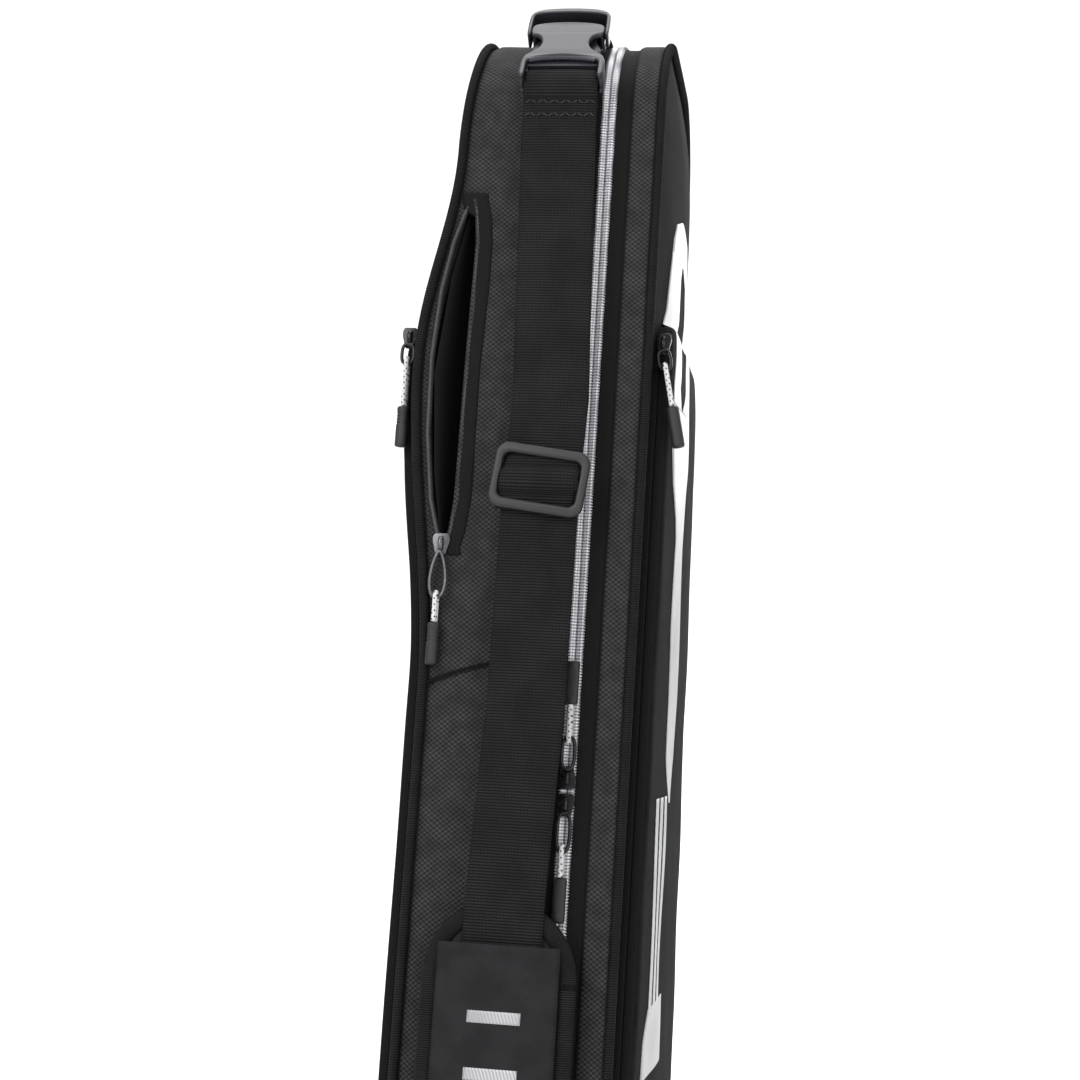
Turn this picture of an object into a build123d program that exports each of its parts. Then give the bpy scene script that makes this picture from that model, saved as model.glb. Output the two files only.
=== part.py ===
from build123d import *
import math
import os

# A racket tournament bag that stands on its base. X runs from the rear face (-X) to the front
# face (+X), the long zip faces -Y, the spine that the lid swings on faces +Y, and Z is up.
# Millimetres. The origin is the centre of the base.

# ---- Driving dimensions ----
height = 760.0              # base to top
foot = 3.0                  # the piping and the base guard hold the body this far off the ground
base_half = 118.0           # half width at the base
wide_half = 150.0           # half width at the widest place
wide_z = 150.0              # height of the widest place
top_half = 86.0             # half width at the top
base_round, side_round, top_round = 70.0, 200.0, 55.0

rear_x, front_x = -49.5, 49.5   # outer faces of the rear and front panels
parting_x = 23.5                # plane that the main zip lies in
skin, foam = 1.5, 4.5           # outer fabric, and the lined foam board behind it
wall = 3.0                      # thickness of a side wall
gap = 0.3                       # clearance between pieces that move past each other

bulge_depth = 15.5              # how far the phone pocket pushes the rear panel out
bulge_reach = 80.0              # how far in from the zip side the bulge dies away
bulge_top, bulge_high, bulge_low, bulge_end = 690.0, 600.0, 550.0, 425.0

piping_proud = 3.0
piping_lap = 1.5
coil_width = 3.6                # one half of the main zip's coil
coil_proud = 1.0
tape_width = 11.5
tape_skin = 1.5

pocket_inset = 12.0             # side walls of the outer pockets, in from the bag's edge
front_pocket_depth, rear_pocket_depth = 11.0, 10.0
pocket_skin = 1.5
front_pocket_top, rear_pocket_top, pocket_bottom = 604.0, 600.0, 58.0
pocket_round = 22.0

strap_width, webbing = 38.0, 1.8
strap_off = 17.0                # the strap's middle at the pad, out from the bag's side
anchor_end = 20.0               # where the strap's top end is sewn down, past the middle of the top
glide_x = 2.9
pad_x, pad_width, pad_top, pad_bottom = -1.5, 73.0, 315.0, 66.0
pad_back, pad_front = 8.5, 16.0
binding = 6.0
sleeve_top, sleeve_width = 294.0, 54.0

# ---- The side of the bag ----
lean = math.atan((wide_half - top_half) / (height - wide_z))


def side_y(z):
    """Y of the straight zip side at height z."""
    return -wide_half + (z - wide_z) * math.tan(lean)


def on_side(x, z, turn=0):
    """A frame on the zip side: -Y points out of the bag and +Z up the side, or down it with turn=180."""
    return Pos(x, side_y(z), z) * Rot(-math.degrees(lean), 0, 0) * Rot(0, turn, 0)


def drawn(*points):
    return Plane.YZ * make_face(Polyline(*points, close=True))


def bag_outline():
    """The bag seen from the front, with its corners rounded."""
    half = [(base_half, foot), (wide_half, wide_z), (top_half, height)]
    face = drawn(*half, *[(-y, z) for y, z in reversed(half)])
    for z, radius in ((foot, base_round), (wide_z, side_round), (height, top_round)):
        face = fillet([v for v in face.vertices() if abs(v.Z - z) < 1e-3], radius)
    return face


outline = bag_outline()


def grown(amount):
    return offset(outline, amount=amount)


def ring(inner, outer):
    """The band round the outline between two offsets from it; inside is negative."""
    return grown(outer) - grown(inner)


def slab(face, x0, x1):
    return Pos(x0, 0, 0) * extrude(face, amount=x1 - x0)


def block(x0, x1, y0, y1, z0, z1):
    return Pos((x0 + x1) / 2, (y0 + y1) / 2, (z0 + z1) / 2) * Box(x1 - x0, y1 - y0, z1 - z0)


def bulge(x):
    """The swelling over the phone pocket, standing on the plane at x towards -X."""
    edge = {z: (x, side_y(z) - piping_proud - 1, z) for z in (bulge_top, bulge_high, bulge_low, bulge_end)}
    top, end = edge[bulge_top], edge[bulge_end]
    high, low = [(x - bulge_depth, edge[z][1], z) for z in (bulge_high, bulge_low)]
    inner_high, inner_low = [(x, edge[z][1] + bulge_reach, z) for z in (bulge_high, bulge_low)]
    corners = [(top, high, low, end), (high, inner_high, inner_low, low), (top, inner_high, high),
               (end, low, inner_low), (top, end, inner_low, inner_high)]
    return Solid(Shell([Face(Wire.make_polygon(loop, close=True)) for loop in corners]))


def rear_layer(face, outer, inner):
    """A layer of the rear face between two planes, following the bulge on both sides."""
    deep = outer - bulge_depth - 1
    return (slab(face, outer, inner) + (bulge(outer) & slab(face, deep, inner))) - bulge(inner)


def rear_fill(face, outer, inner):
    """Like a layer, but flat on the inner side."""
    deep = outer - bulge_depth - 1
    return slab(face, outer, inner) + (bulge(outer) & slab(face, deep, inner))


def above(z):
    return block(-120, 120, -220, 220, z, height + 60)


def below(z):
    return block(-120, 120, -220, 220, -20, z)


def between(z0, z1):
    return block(-120, 120, -220, 220, z0, z1)


zip_side = block(-120, 120, -220, 0, -20, height + 60)
spine_side = block(-120, 120, 0, 220, -20, height + 60)
side_low, side_high = 182.0, 710.0      # ends of the straight sides
spine_strip = spine_side & between(side_low, side_high)
coil_low, coil_high = 158.0, 724.0      # the coil stops short of the spine's fold at both ends
coil_stop = spine_side & between(coil_low, coil_high)

parts = {}

# ---- Rear panel and the deep half of the body ----
rear_skin_x = rear_x + skin
rear_lining_x = rear_skin_x + foam
front_skin_x = front_x - skin
front_lining_x = front_skin_x - foam
inside = grown(-wall)
parts["rear_panel"] = rear_layer(outline, rear_x, rear_skin_x)
parts["rear_lined_board"] = rear_layer(inside, rear_skin_x, rear_lining_x)

coil_x0 = parting_x - gap / 2 - coil_width
coil_x1 = parting_x + gap / 2 + coil_width
tape_x0 = parting_x - gap / 2 - tape_width
tape_x1 = parting_x + gap / 2 + tape_width
wall_ring = ring(-wall, 0)
deep_wall = rear_fill(wall_ring, rear_skin_x, tape_x0)

# The phone pocket's mouth is a long slit with pointed ends, drawn in X and Z and cut through the wall.
mouth = [(-43, 662), (-39.5, 647), (-41.5, 507), (-44.5, 488), (-49, 488), (-57.5, 540), (-58, 596), (-48.5, 662)]
mouth_cutter = extrude(Plane.XZ * make_face(Polyline(*mouth, close=True)), amount=100, both=True)
mouth_cutter = Pos(0, side_y(575), 0) * mouth_cutter

parts["deep_zip_side_gusset"] = (deep_wall & zip_side & between(side_low, side_high)) - mouth_cutter
parts["deep_top_gusset"] = deep_wall & above(side_high)
parts["deep_spine_gusset"] = rear_fill(wall_ring, rear_skin_x, parting_x - gap / 2) & spine_strip
parts["deep_base_gusset"] = deep_wall & below(side_low)
guard_face = drawn((-58, 0), (58, 0), (58, foot), (-58, foot))
parts["deep_base_guard"] = slab(guard_face, rear_x + 3.5, tape_x0)
parts["rear_piping"] = rear_layer(ring(-piping_lap, piping_proud), rear_x - piping_proud, rear_x)

# ---- Lid ----
lid_wall = slab(wall_ring, tape_x1, front_skin_x)
parts["front_panel"] = slab(outline, front_skin_x, front_x)
parts["front_lined_board"] = slab(inside, front_lining_x, front_skin_x)
parts["lid_zip_side_gusset"] = lid_wall & zip_side & between(side_low, side_high)
parts["lid_top_gusset"] = lid_wall & above(side_high)
parts["lid_spine_gusset"] = slab(wall_ring, parting_x + gap / 2, front_skin_x) & spine_strip
parts["lid_base_gusset"] = lid_wall & below(side_low)
parts["lid_base_guard"] = slab(guard_face, tape_x1, front_x - 3.5)
parts["front_piping"] = slab(ring(-piping_lap, piping_proud), front_x, front_x + piping_proud)

# ---- Main zip: tape and coil on each side, round everything but the spine ----
tape_ring = ring(-0.5 - tape_skin, -0.5)
coil_ring = ring(-0.5, coil_proud)
parts["deep_zip_tape"] = slab(tape_ring, tape_x0, parting_x - gap / 2) - spine_strip
parts["lid_zip_tape"] = slab(tape_ring, parting_x + gap / 2, tape_x1) - spine_strip
parts["deep_zip_coil"] = slab(coil_ring, coil_x0, parting_x - gap / 2) - coil_stop
parts["lid_zip_coil"] = slab(coil_ring, parting_x + gap / 2, coil_x1) - coil_stop


# ---- Outer pockets ----
def pocket_outline(top, inset):
    """The bag's outline drawn in and cut off level at the top, with rounded corners."""
    frame = drawn((-200, pocket_bottom), (200, pocket_bottom), (200, top), (-200, top))
    face = grown(-pocket_inset) & frame
    return offset(offset(face, amount=-pocket_round), amount=pocket_round - inset)


front_full, front_inner = pocket_outline(front_pocket_top, 0), pocket_outline(front_pocket_top, 2)
front_pocket_x = front_x + front_pocket_depth
parts["front_pocket_wall"] = slab(front_full - front_inner, front_x, front_pocket_x)
parts["front_pocket_panel"] = slab(front_full, front_pocket_x, front_pocket_x + pocket_skin)

rear_full, rear_inner = pocket_outline(rear_pocket_top, 0), pocket_outline(rear_pocket_top, 2)
rear_pocket_x = rear_x - rear_pocket_depth
parts["rear_pocket_wall"] = rear_layer(rear_full - rear_inner, rear_pocket_x, rear_x)
parts["rear_pocket_panel"] = rear_layer(rear_full, rear_pocket_x - pocket_skin, rear_pocket_x)


# Zip tape lies on the zip-side face of each pocket's wall.
pocket_zip = ring(-pocket_inset, -pocket_inset + 1)
pocket_zip_low, pocket_zip_high, pocket_zip_shift = 190.0, 578.0, 0.8
pocket_zip_span = zip_side & between(pocket_zip_low, pocket_zip_high)
front_strip = slab(pocket_zip, front_x + pocket_zip_shift, front_pocket_x + pocket_zip_shift)
parts["front_pocket_zip"] = front_strip & pocket_zip_span
rear_strip = rear_layer(pocket_zip, rear_pocket_x - pocket_zip_shift, rear_x - pocket_zip_shift)
parts["rear_pocket_zip"] = rear_strip & pocket_zip_span

# ---- Phone pocket ----
pouch_low, pouch_high, pouch_reach, pouch_x, pouch_skin = 474.0, 672.0, 82.0, -35.0, 1.5


def pouch_outline(margin):
    low, high = pouch_low + margin, pouch_high - margin
    near = wall / math.cos(lean)
    return drawn((side_y(low) + near, low), (side_y(high) + near, high),
                 (side_y(high) + pouch_reach - margin, high), (side_y(low) + pouch_reach - margin, low))


pouch_rim = rear_fill(pouch_outline(0) - pouch_outline(pouch_skin), rear_lining_x, pouch_x)
parts["phone_pouch"] = pouch_rim + slab(pouch_outline(0), pouch_x, pouch_x + pouch_skin)


def mouth_edge(points):
    """A toothed zip edge: a thin strip that lies on the wall along one side of the mouth."""
    strip = trace(Polyline(*points), line_width=2.6)
    cutter = Pos(0, side_y(575), 0) * extrude(Plane.XZ * strip, amount=100, both=True)
    return slab(ring(0, 0.9), -70, -20) & zip_side & cutter


front_edge = mouth_edge([(-41.2, 662), (-38.0, 647), (-40.0, 507), (-42.4, 493)])
rear_edge = mouth_edge([(-50.4, 662), (-59.4, 598), (-59.0, 540), (-51.2, 493)])
parts["phone_zip_edges"] = Compound([*front_edge.solids(), *rear_edge.solids()])

# ---- Buckle on the top corner ----
buckle_tilt = 36.0
buckle_off = 10.5
top_bend_y = -(top_half - top_round * math.tan(math.radians(45) - lean / 2))
top_bend_z = height - top_round
reach = top_round + buckle_off
tilt = math.radians(buckle_tilt)
buckle_y = top_bend_y - reach * math.cos(tilt)
buckle_z = top_bend_z + reach * math.sin(tilt)
buckle_place = Pos(0, buckle_y, buckle_z) * Rot(-buckle_tilt, 0, 0)
buckle_width = 43.0
socket_low, socket_high, frame_high = -28.5, 17.4, 28.5
window_z, window_round = -1.4, 9.0
slot_half = 19.6             # half length of the slots that the webbing goes through

socket = block(-buckle_width / 2, buckle_width / 2, -6, 6, socket_low, socket_high)
socket = fillet(socket.edges().filter_by(Axis.Y), 4)
socket = fillet(socket.edges().filter_by(Axis.X), 2)
socket -= block(-17.5, 17.5, -3.5, 3.5, -14, socket_high + 1)
for side in (-1, 1):
    window = Pos(side * buckle_width / 2, 0, window_z) * Rot(90, 0, 0) * Cylinder(window_round, 14)
    socket -= window
socket -= block(-slot_half, slot_half, -10, 10, -24.5, -19.5)
socket -= block(-slot_half, slot_half, 2.4, 10, -30, -24)
parts["buckle_socket"] = buckle_place * socket

latch = block(-buckle_width / 2, buckle_width / 2, -4.5, 4.5, socket_high + 0.6, frame_high)
latch = fillet(latch.edges().filter_by(Axis.Y), 4)
latch -= block(-slot_half, slot_half, -10, 10, 20.4, 25.2)
latch += block(-3.5, 3.5, -2, 2, -11, socket_high + 1)
parts["buckle_latch"] = buckle_place * latch


def prong(side):
    """A springy side arm of the latch with its thumb pad, reaching into the socket's window."""
    arm = block(10.6, 14.4, -2.6, 2.6, -6.5, socket_high)
    pad = block(10.6, 16.6, -2.6, 2.6, -7.5, 5.5)
    pad = fillet(pad.edges().filter_by(Axis.Y), 1.5)
    shape = arm + pad
    return shape if side > 0 else mirror(shape, about=Plane.YZ)


parts["buckle_prong_front"] = buckle_place * prong(1)
parts["buckle_prong_rear"] = buckle_place * prong(-1)


# ---- Strap ----
def local_point(place, x, y, z):
    p = (place * Pos(x, y, z)).position
    return p.Y, p.Z


def off_side(z, out):
    """The point beside height z that stands out from the straight side."""
    return side_y(z) - out * math.cos(lean), z + out * math.sin(lean)


def ribbon(points, width=strap_width, thick=webbing, centre=0.0):
    """Flat webbing along a path drawn in Y and Z."""
    strip = Plane.YZ * trace(Polyline(*points), line_width=thick)
    return slab(strip, centre - width / 2, centre + width / 2)


latch_bar = local_point(buckle_place, 0, 0, 22.8)
behind_latch = local_point(buckle_place, 0, 6.6, 22.8)
over_bend = math.radians(76)
bend_reach = top_round + 2.2
over_top = (top_bend_y - bend_reach * math.cos(over_bend), top_bend_z + bend_reach * math.sin(over_bend))
parts["top_anchor_webbing"] = ribbon([latch_bar, behind_latch, over_top, (top_bend_y + 6, height + 1.2),
                                      (anchor_end, height + 1.2)])
strap_top = local_point(buckle_place, 0, 4.6, -31.0)
strap_low = off_side(pad_top - 4, strap_off)
parts["strap_webbing"] = ribbon([local_point(buckle_place, 0, 1.2, -20.8), local_point(buckle_place, 0, 4.6, -24.2),
                                 strap_top, strap_low, off_side(pad_top - 120, strap_off)])

strap_lean = math.atan2(strap_top[0] - strap_low[0], strap_top[1] - strap_low[1])
glide_z = 516.0
glide_width, glide_height, glide_thick = 47.0, 33.0, 4.5
glide = Box(glide_width, glide_thick, glide_height)
glide = fillet(glide.edges().filter_by(Axis.Y), 6)
for side in (-1, 1):
    glide -= Pos(0, 0, side * 7.4) * Box(39.6, 10, 9.4)
glide_y = strap_low[0] + (glide_z - strap_low[1]) * math.tan(strap_lean)
glide_out = webbing / 2 + gap + glide_thick / 2
on_strap = Pos(glide_x, glide_y, glide_z) * Rot(-math.degrees(strap_lean), 0, 0)
parts["strap_adjuster"] = on_strap * Pos(0, -glide_out, 0) * glide


# ---- Shoulder pad ----
def pad_shape(margin):
    """The pad's rounded outline, drawn in X and Z."""
    width, length = pad_width - 2 * margin, pad_top - pad_bottom - 2 * margin
    shape = RectangleRounded(width, length, min(width, length) / 2 - 0.5)
    middle = (pad_top + pad_bottom) / 2
    return Pos(pad_x, -150, middle) * extrude(Plane.XZ * shape, amount=80, both=True)


def pad_layer(near, far, inner_margin):
    return slab(ring(near, far), -60, 60) & zip_side & pad_shape(inner_margin)


parts["pad_foam"] = pad_layer(pad_back, pad_front - 1.2, binding)
parts["pad_cover"] = pad_layer(pad_front - 1.2, pad_front, binding)
parts["pad_binding"] = pad_layer(pad_back, pad_front, 0) - pad_shape(binding)
sleeve = slab(ring(strap_off + webbing / 2 + gap, strap_off + webbing / 2 + gap + 1.2), -60, 60) & zip_side
half_sleeve = sleeve_width / 2
parts["pad_sleeve"] = sleeve & block(pad_x - half_sleeve, pad_x + half_sleeve, -220, 0, 92, sleeve_top)

# The lower webbing leaves the pad and is sewn to the base corner.
low_dir = math.atan((wide_half - base_half) / (wide_z - foot))


def off_low(z, out):
    y = -base_half - (z - foot) * math.tan(low_dir)
    return y - out * math.cos(low_dir), z - out * math.sin(low_dir)


anchor = slab(ring(0.2, 0.2 + webbing), -strap_width / 2, strap_width / 2) & zip_side & between(12, 42)
parts["lower_webbing"] = anchor + ribbon([off_low(112, strap_off), off_low(62, strap_off + 0.6), off_low(40, -1.4)])


# ---- Zip sliders and their pulls ----
crown_top = 4.4
ring_plane = 4.7            # the pull's ring lies this far out from the surface
ring_width, ring_bar, ring_thick = 8.0, 1.8, 1.8
cord_d, cord_apart = 2.4, 4.4
end_d, end_length = 6.4, 21.5
slider_half = 5.5
pull_pin = 4.0              # the pull's hinge, along the slider from its middle


def slider_body(width):
    """Slider seen from outside: a waisted top plate with a raised bridge for the pull."""
    plate = block(-width / 2, width / 2, -3.1, -1.3, -slider_half, slider_half)
    plate = fillet(plate.edges().filter_by(Axis.Y), 2)
    bridge = block(-1.1, 1.1, -crown_top, -3.0, -3.5, 2.2)
    return plate + bridge


def pull_ring(length):
    """Flat ring that hangs from the bridge; +Z is the way that it points."""
    low, high = pull_pin - 1, pull_pin + length
    plate = block(-ring_width / 2, ring_width / 2, -ring_plane - ring_thick / 2, -ring_plane + ring_thick / 2,
                  low, high)
    plate = fillet(plate.edges().filter_by(Axis.Y), 3)
    hole = block(-ring_width / 2 + ring_bar, ring_width / 2 - ring_bar, -20, 20, low + ring_bar, high - ring_bar)
    return plate - hole


def pull_cord(ring_length, length):
    """Cord folded through the ring: two legs, one in front of the ring's bar and one behind."""
    top = pull_pin + ring_length - ring_bar - cord_d / 2 - 0.4
    low, half = top + length, cord_apart / 2
    route = [(0, -ring_plane - half, low), (0, -ring_plane - half, top), (0, -ring_plane + half, top),
             (0, -ring_plane + half, low)]
    fold = 0.45 * cord_apart
    path = FilletPolyline(*route, radius=[fold, fold])
    tube = sweep(Plane(path @ 0, z_dir=path % 0) * Circle(cord_d / 2), path=path)
    print("cord", round(path.length, 1), "mm, fold radius", round(fold, 2), "volume ratio",
          round(tube.volume / (path.length * math.pi * cord_d ** 2 / 4), 3))
    return tube


def pull_end(ring_length, length):
    low = pull_pin + ring_length - ring_bar - cord_d / 2 - 0.4 + length
    end = Pos(0, -ring_plane, low + end_length / 2) * Cylinder(end_d / 2, end_length)
    return fillet(end.edges(), 0.8)


def zip_pull(name, place, width, ring_length, cord_length, cant=0):
    """A slider and its pull; cant tips the pull sideways about its hinge."""
    hung = place * Pos(0, 0, pull_pin) * Rot(0, cant, 0) * Pos(0, 0, -pull_pin)
    parts[name + "_slider"] = place * slider_body(width)
    parts[name + "_pull_ring"] = hung * pull_ring(ring_length)
    parts[name + "_pull_cord"] = hung * pull_cord(ring_length, cord_length)
    parts[name + "_pull_end"] = hung * pull_end(ring_length, cord_length)


meet_z, meet_gap = 367.0, 6.5
down = 180
in_pocket = Pos(0, pocket_inset - 1, 0)
zip_pull("upper_zip", on_side(parting_x, meet_z + meet_gap), 9.0, 16.0, 18.0)
zip_pull("lower_zip", on_side(parting_x, meet_z - meet_gap, turn=down), 9.0, 19.0, 14.5)
zip_pull("phone_zip", on_side(-46.5, 484, turn=down), 9.0, 24.0, 14.5)
zip_pull("front_zip", on_side(57.3, 592, turn=down) * in_pocket, 8.0, 11.0, 22.0, cant=-12)
zip_pull("rear_zip", on_side(-72.8, 592, turn=down) * in_pocket, 8.0, 11.0, 25.0)

# ---- Write every piece ----
os.makedirs("parts", exist_ok=True)
for name, shape in parts.items():
    export_step(shape, f"parts/{name}.step")
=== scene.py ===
import math

import bmesh
import bpy
import numpy as np
from mathutils import Matrix, Vector, bvhtree


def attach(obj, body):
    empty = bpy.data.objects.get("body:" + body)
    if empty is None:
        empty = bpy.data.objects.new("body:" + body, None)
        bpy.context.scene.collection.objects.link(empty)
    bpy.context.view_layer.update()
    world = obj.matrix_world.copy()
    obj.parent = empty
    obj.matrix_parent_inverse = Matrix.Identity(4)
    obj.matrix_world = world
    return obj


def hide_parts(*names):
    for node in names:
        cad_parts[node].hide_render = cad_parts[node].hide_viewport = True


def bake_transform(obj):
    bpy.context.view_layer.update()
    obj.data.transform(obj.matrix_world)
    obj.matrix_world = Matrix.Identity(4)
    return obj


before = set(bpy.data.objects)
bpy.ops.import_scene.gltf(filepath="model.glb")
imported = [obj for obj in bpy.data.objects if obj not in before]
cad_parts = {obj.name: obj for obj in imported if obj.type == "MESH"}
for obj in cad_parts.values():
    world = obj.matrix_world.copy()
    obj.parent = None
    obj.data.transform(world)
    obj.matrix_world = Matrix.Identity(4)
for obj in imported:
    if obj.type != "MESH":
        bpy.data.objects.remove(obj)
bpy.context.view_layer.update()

# Sizes are in millimetres, as in the CAD source, and meshes are scaled to metres as they are made.
MM = 0.001
HEIGHT, FOOT = 760.0, 3.0
BASE_HALF, WIDE_HALF, WIDE_Z, TOP_HALF = 118.0, 150.0, 150.0, 86.0
BASE_ROUND, SIDE_ROUND, TOP_ROUND = 70.0, 200.0, 55.0
REAR_X, FRONT_X, PARTING_X = -49.5, 49.5, 23.5
LEAN = math.atan((WIDE_HALF - TOP_HALF) / (HEIGHT - WIDE_Z))
SPINE_LOW, SPINE_HIGH = 182.0, 710.0
TAPE_EDGE = 11.7
BULGE, BULGE_Z, BULGE_UP, BULGE_DOWN, BULGE_REACH = 15.0, 577.0, 115.0, 165.0, 85.0
POCKET_INSET = 12.0
FRONT_POCKET_TOP, REAR_POCKET_TOP, POCKET_BOTTOM = 604.0, 600.0, 58.0
STRAP_W, WEB = 38.0, 1.8
STRAP_OFF = 17.0
PAD_X, PAD_W, PAD_TOP, PAD_BOTTOM = -1.5, 73.0, 315.0, 66.0
SLEEVE_TOP, SLEEVE_W = 294.0, 57.0
BUCKLE_TILT = math.radians(36)
GLIDE_X, GLIDE_Z = 2.9, 516.0


# ---------------------------------------------------------------- shapes in code
def side_y(z):
    return -WIDE_HALF + (z - WIDE_Z) * math.tan(LEAN)


def smooth(t):
    t = np.clip(t, 0, 1)
    return t * t * (3 - 2 * t)


def rounded(corners, step):
    """Outline points and normals of a rounded shape given by its left corners from the base up."""
    full = [(c[0], c[1], c[2]) for c in corners] + [(-c[0], c[1], c[2]) for c in reversed(corners)]
    ends = [np.array((0.0, corners[0][1]))] + [np.array(c[:2])
                                               for c in full] + [np.array((0.0, corners[0][1]))]
    points, normals, last = [], [], ends[0]

    def straight(a, b, n):
        count = max(1, int(round(np.linalg.norm(b - a) / step)))
        for i in range(count):
            points.append(a + (b - a) * i / count)
            normals.append(n)

    for i, (_, _, radius) in enumerate(full):
        before, corner, after = ends[i], ends[i + 1], ends[i + 2]
        d0 = (corner - before) / np.linalg.norm(corner - before)
        d1 = (after - corner) / np.linalg.norm(after - corner)
        turn = math.acos(float(np.clip(d0 @ d1, -1, 1)))
        n0 = np.array((-d0[1], d0[0]))
        reach = radius * math.tan(turn / 2)
        start = corner - d0 * reach
        centre = start - n0 * radius
        straight(last, start, n0)
        count = max(3, int(round(radius * turn / step)))
        for k in range(count):
            a = -turn * k / count
            n = np.array((n0[0] * math.cos(a) - n0[1] * math.sin(a), n0[0] * math.sin(a) + n0[1]
                          * math.cos(a)))
            points.append(centre + n * radius)
            normals.append(n)
        last = corner + d1 * reach
    straight(last, ends[-1], np.array((0.0, -1.0)))
    p, n = np.array(points), np.array(normals)
    s = np.concatenate([[0], np.cumsum(np.linalg.norm(np.diff(p, axis=0), axis=1))])
    return p, n, s


def bulge(y, z):
    """How far the rear face stands out over the phone pocket."""
    width = np.where(z > BULGE_Z, BULGE_UP, BULGE_DOWN)
    rise = 0.5 + 0.5 * np.cos(np.pi * np.clip(np.abs(z - BULGE_Z) / width, 0, 1))
    inward = np.clip((y - (-WIDE_HALF + (z - WIDE_Z) * math.tan(LEAN))) / BULGE_REACH, 0, 1)
    return BULGE * rise * (0.5 + 0.5 * np.cos(np.pi * inward))


def ripple(a, b, size, pitch, seed=0.0):
    """A soft unevenness in cloth, the same every run."""
    return size * (np.sin(a / pitch + seed) * np.cos(b / (pitch * 0.73) + 2.1 * seed)
                   + 0.5 * np.sin(a / (pitch * 0.41) + b / (pitch * 0.9) + 4 * seed)) / 1.5


def link(name, mesh):
    obj = bpy.data.objects.new(name, mesh)
    bpy.context.scene.collection.objects.link(obj)
    return obj


def new_mesh(name, points, faces, uvs=None, smooth_faces=True):
    mesh = bpy.data.meshes.new(name)
    mesh.from_pydata([tuple(p) for p in np.asarray(points, float) * MM], [], faces)
    if uvs is not None:
        layer = mesh.uv_layers.new(name="mm")
        index = np.zeros(len(mesh.loops), np.int32)
        mesh.loops.foreach_get("vertex_index", index)
        layer.data.foreach_set("uv", (np.asarray(uvs, float)[index] * 0.1).astype(np.float32).ravel())
    if smooth_faces:
        mesh.shade_smooth()
    return link(name, mesh)


def grid(name, points, uvs, wrap_rows=False, wrap_cols=False, keep=None, flip=False):
    """A sheet of quads over points[row][column]; keep says which quads stay. The UVs are millimetres."""
    rows, cols = points.shape[:2]
    faces = []
    for r in range(rows if wrap_rows else rows - 1):
        for c in range(cols if wrap_cols else cols - 1):
            if keep is not None and not keep(r, c):
                continue
            a, b = r * cols + c, r * cols + (c + 1) % cols
            d, e = ((r + 1) % rows) * cols + c, ((r + 1) % rows) * cols + (c + 1) % cols
            faces.append((a, d, e, b) if flip else (a, b, e, d))
    obj = new_mesh(name, points.reshape(-1, 3), faces, uvs.reshape(-1, 2))
    return obj


def modifier(obj, kind, **values):
    m = obj.modifiers.new(kind.title(), kind)
    for key, value in values.items():
        setattr(m, key, value)
    return m


def thicken(obj, mm, offset=-1.0):
    return modifier(obj, "SOLIDIFY", thickness=mm * MM, offset=offset, use_even_offset=False)


def join(name, objs):
    """One mesh from several, modifiers applied."""
    bpy.context.view_layer.update()
    graph = bpy.context.evaluated_depsgraph_get()
    points, faces, uvs, mats, base = [], [], [], [], 0
    materials = []
    for o in objs:
        mesh = bpy.data.meshes.new_from_object(o.evaluated_get(graph))
        mesh.transform(o.matrix_world)
        if o.data.materials and o.data.materials[0] not in materials:
            materials.append(o.data.materials[0])
        slot = materials.index(o.data.materials[0]) if o.data.materials else 0
        points += [v.co / MM for v in mesh.vertices]
        faces += [tuple(base + i for i in p.vertices) for p in mesh.polygons]
        mats += [slot] * len(mesh.polygons)
        layer = mesh.uv_layers[0].data if mesh.uv_layers else None
        for p in mesh.polygons:
            uvs += [tuple(layer[i].uv) if layer else (0, 0) for i in p.loop_indices]
        base += len(mesh.vertices)
        bpy.data.meshes.remove(mesh)
    made = new_mesh(name, np.array([tuple(p) for p in points]), faces)
    layer = made.data.uv_layers.new(name="mm")
    layer.data.foreach_set("uv", np.array(uvs, np.float32).ravel())
    made.data.polygons.foreach_set("material_index", mats)
    for m in materials:
        made.data.materials.append(m)
    for o in objs:
        bpy.data.objects.remove(o)
    return made


def tube(name, path, out, radius, per_mm=0.8, around=10, rib=0.0, rib_pitch=1.6, flat=1.0, twist=0.0):
    """A cord-like body along a path of points with an outward direction at each; rib makes woven ridges."""
    path, out = np.asarray(path, float), np.asarray(out, float)
    s = np.concatenate([[0], np.cumsum(np.linalg.norm(np.diff(path, axis=0), axis=1))])
    at = np.arange(0, s[-1], per_mm)
    p = np.stack([np.interp(at, s, path[:, i]) for i in range(3)], 1)
    n = np.stack([np.interp(at, s, out[:, i]) for i in range(3)], 1)
    t = np.gradient(p, axis=0)
    t /= np.linalg.norm(t, axis=1)[:, None]
    n -= t * np.sum(n * t, 1)[:, None]
    n /= np.linalg.norm(n, axis=1)[:, None]
    b = np.cross(t, n)
    angle = np.linspace(0, 2 * np.pi, around, endpoint=False)
    ribbed = radius * (1 + rib * np.cos(2 * np.pi * at / rib_pitch)[:, None] * np.ones(around))
    ring = (n[:, None, :] * np.cos(angle)[None, :, None] * flat + b[:, None, :]
            * np.sin(angle)[None, :, None])
    shift = t[:, None, :] * (np.sin(angle) * twist)[None, :, None]
    points = p[:, None, :] + ring * ribbed[:, :, None] + shift
    uvs = np.stack(np.broadcast_arrays(at[:, None], (angle * radius)[None, :]), 2)
    return grid(name, points, uvs, wrap_cols=True)


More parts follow.
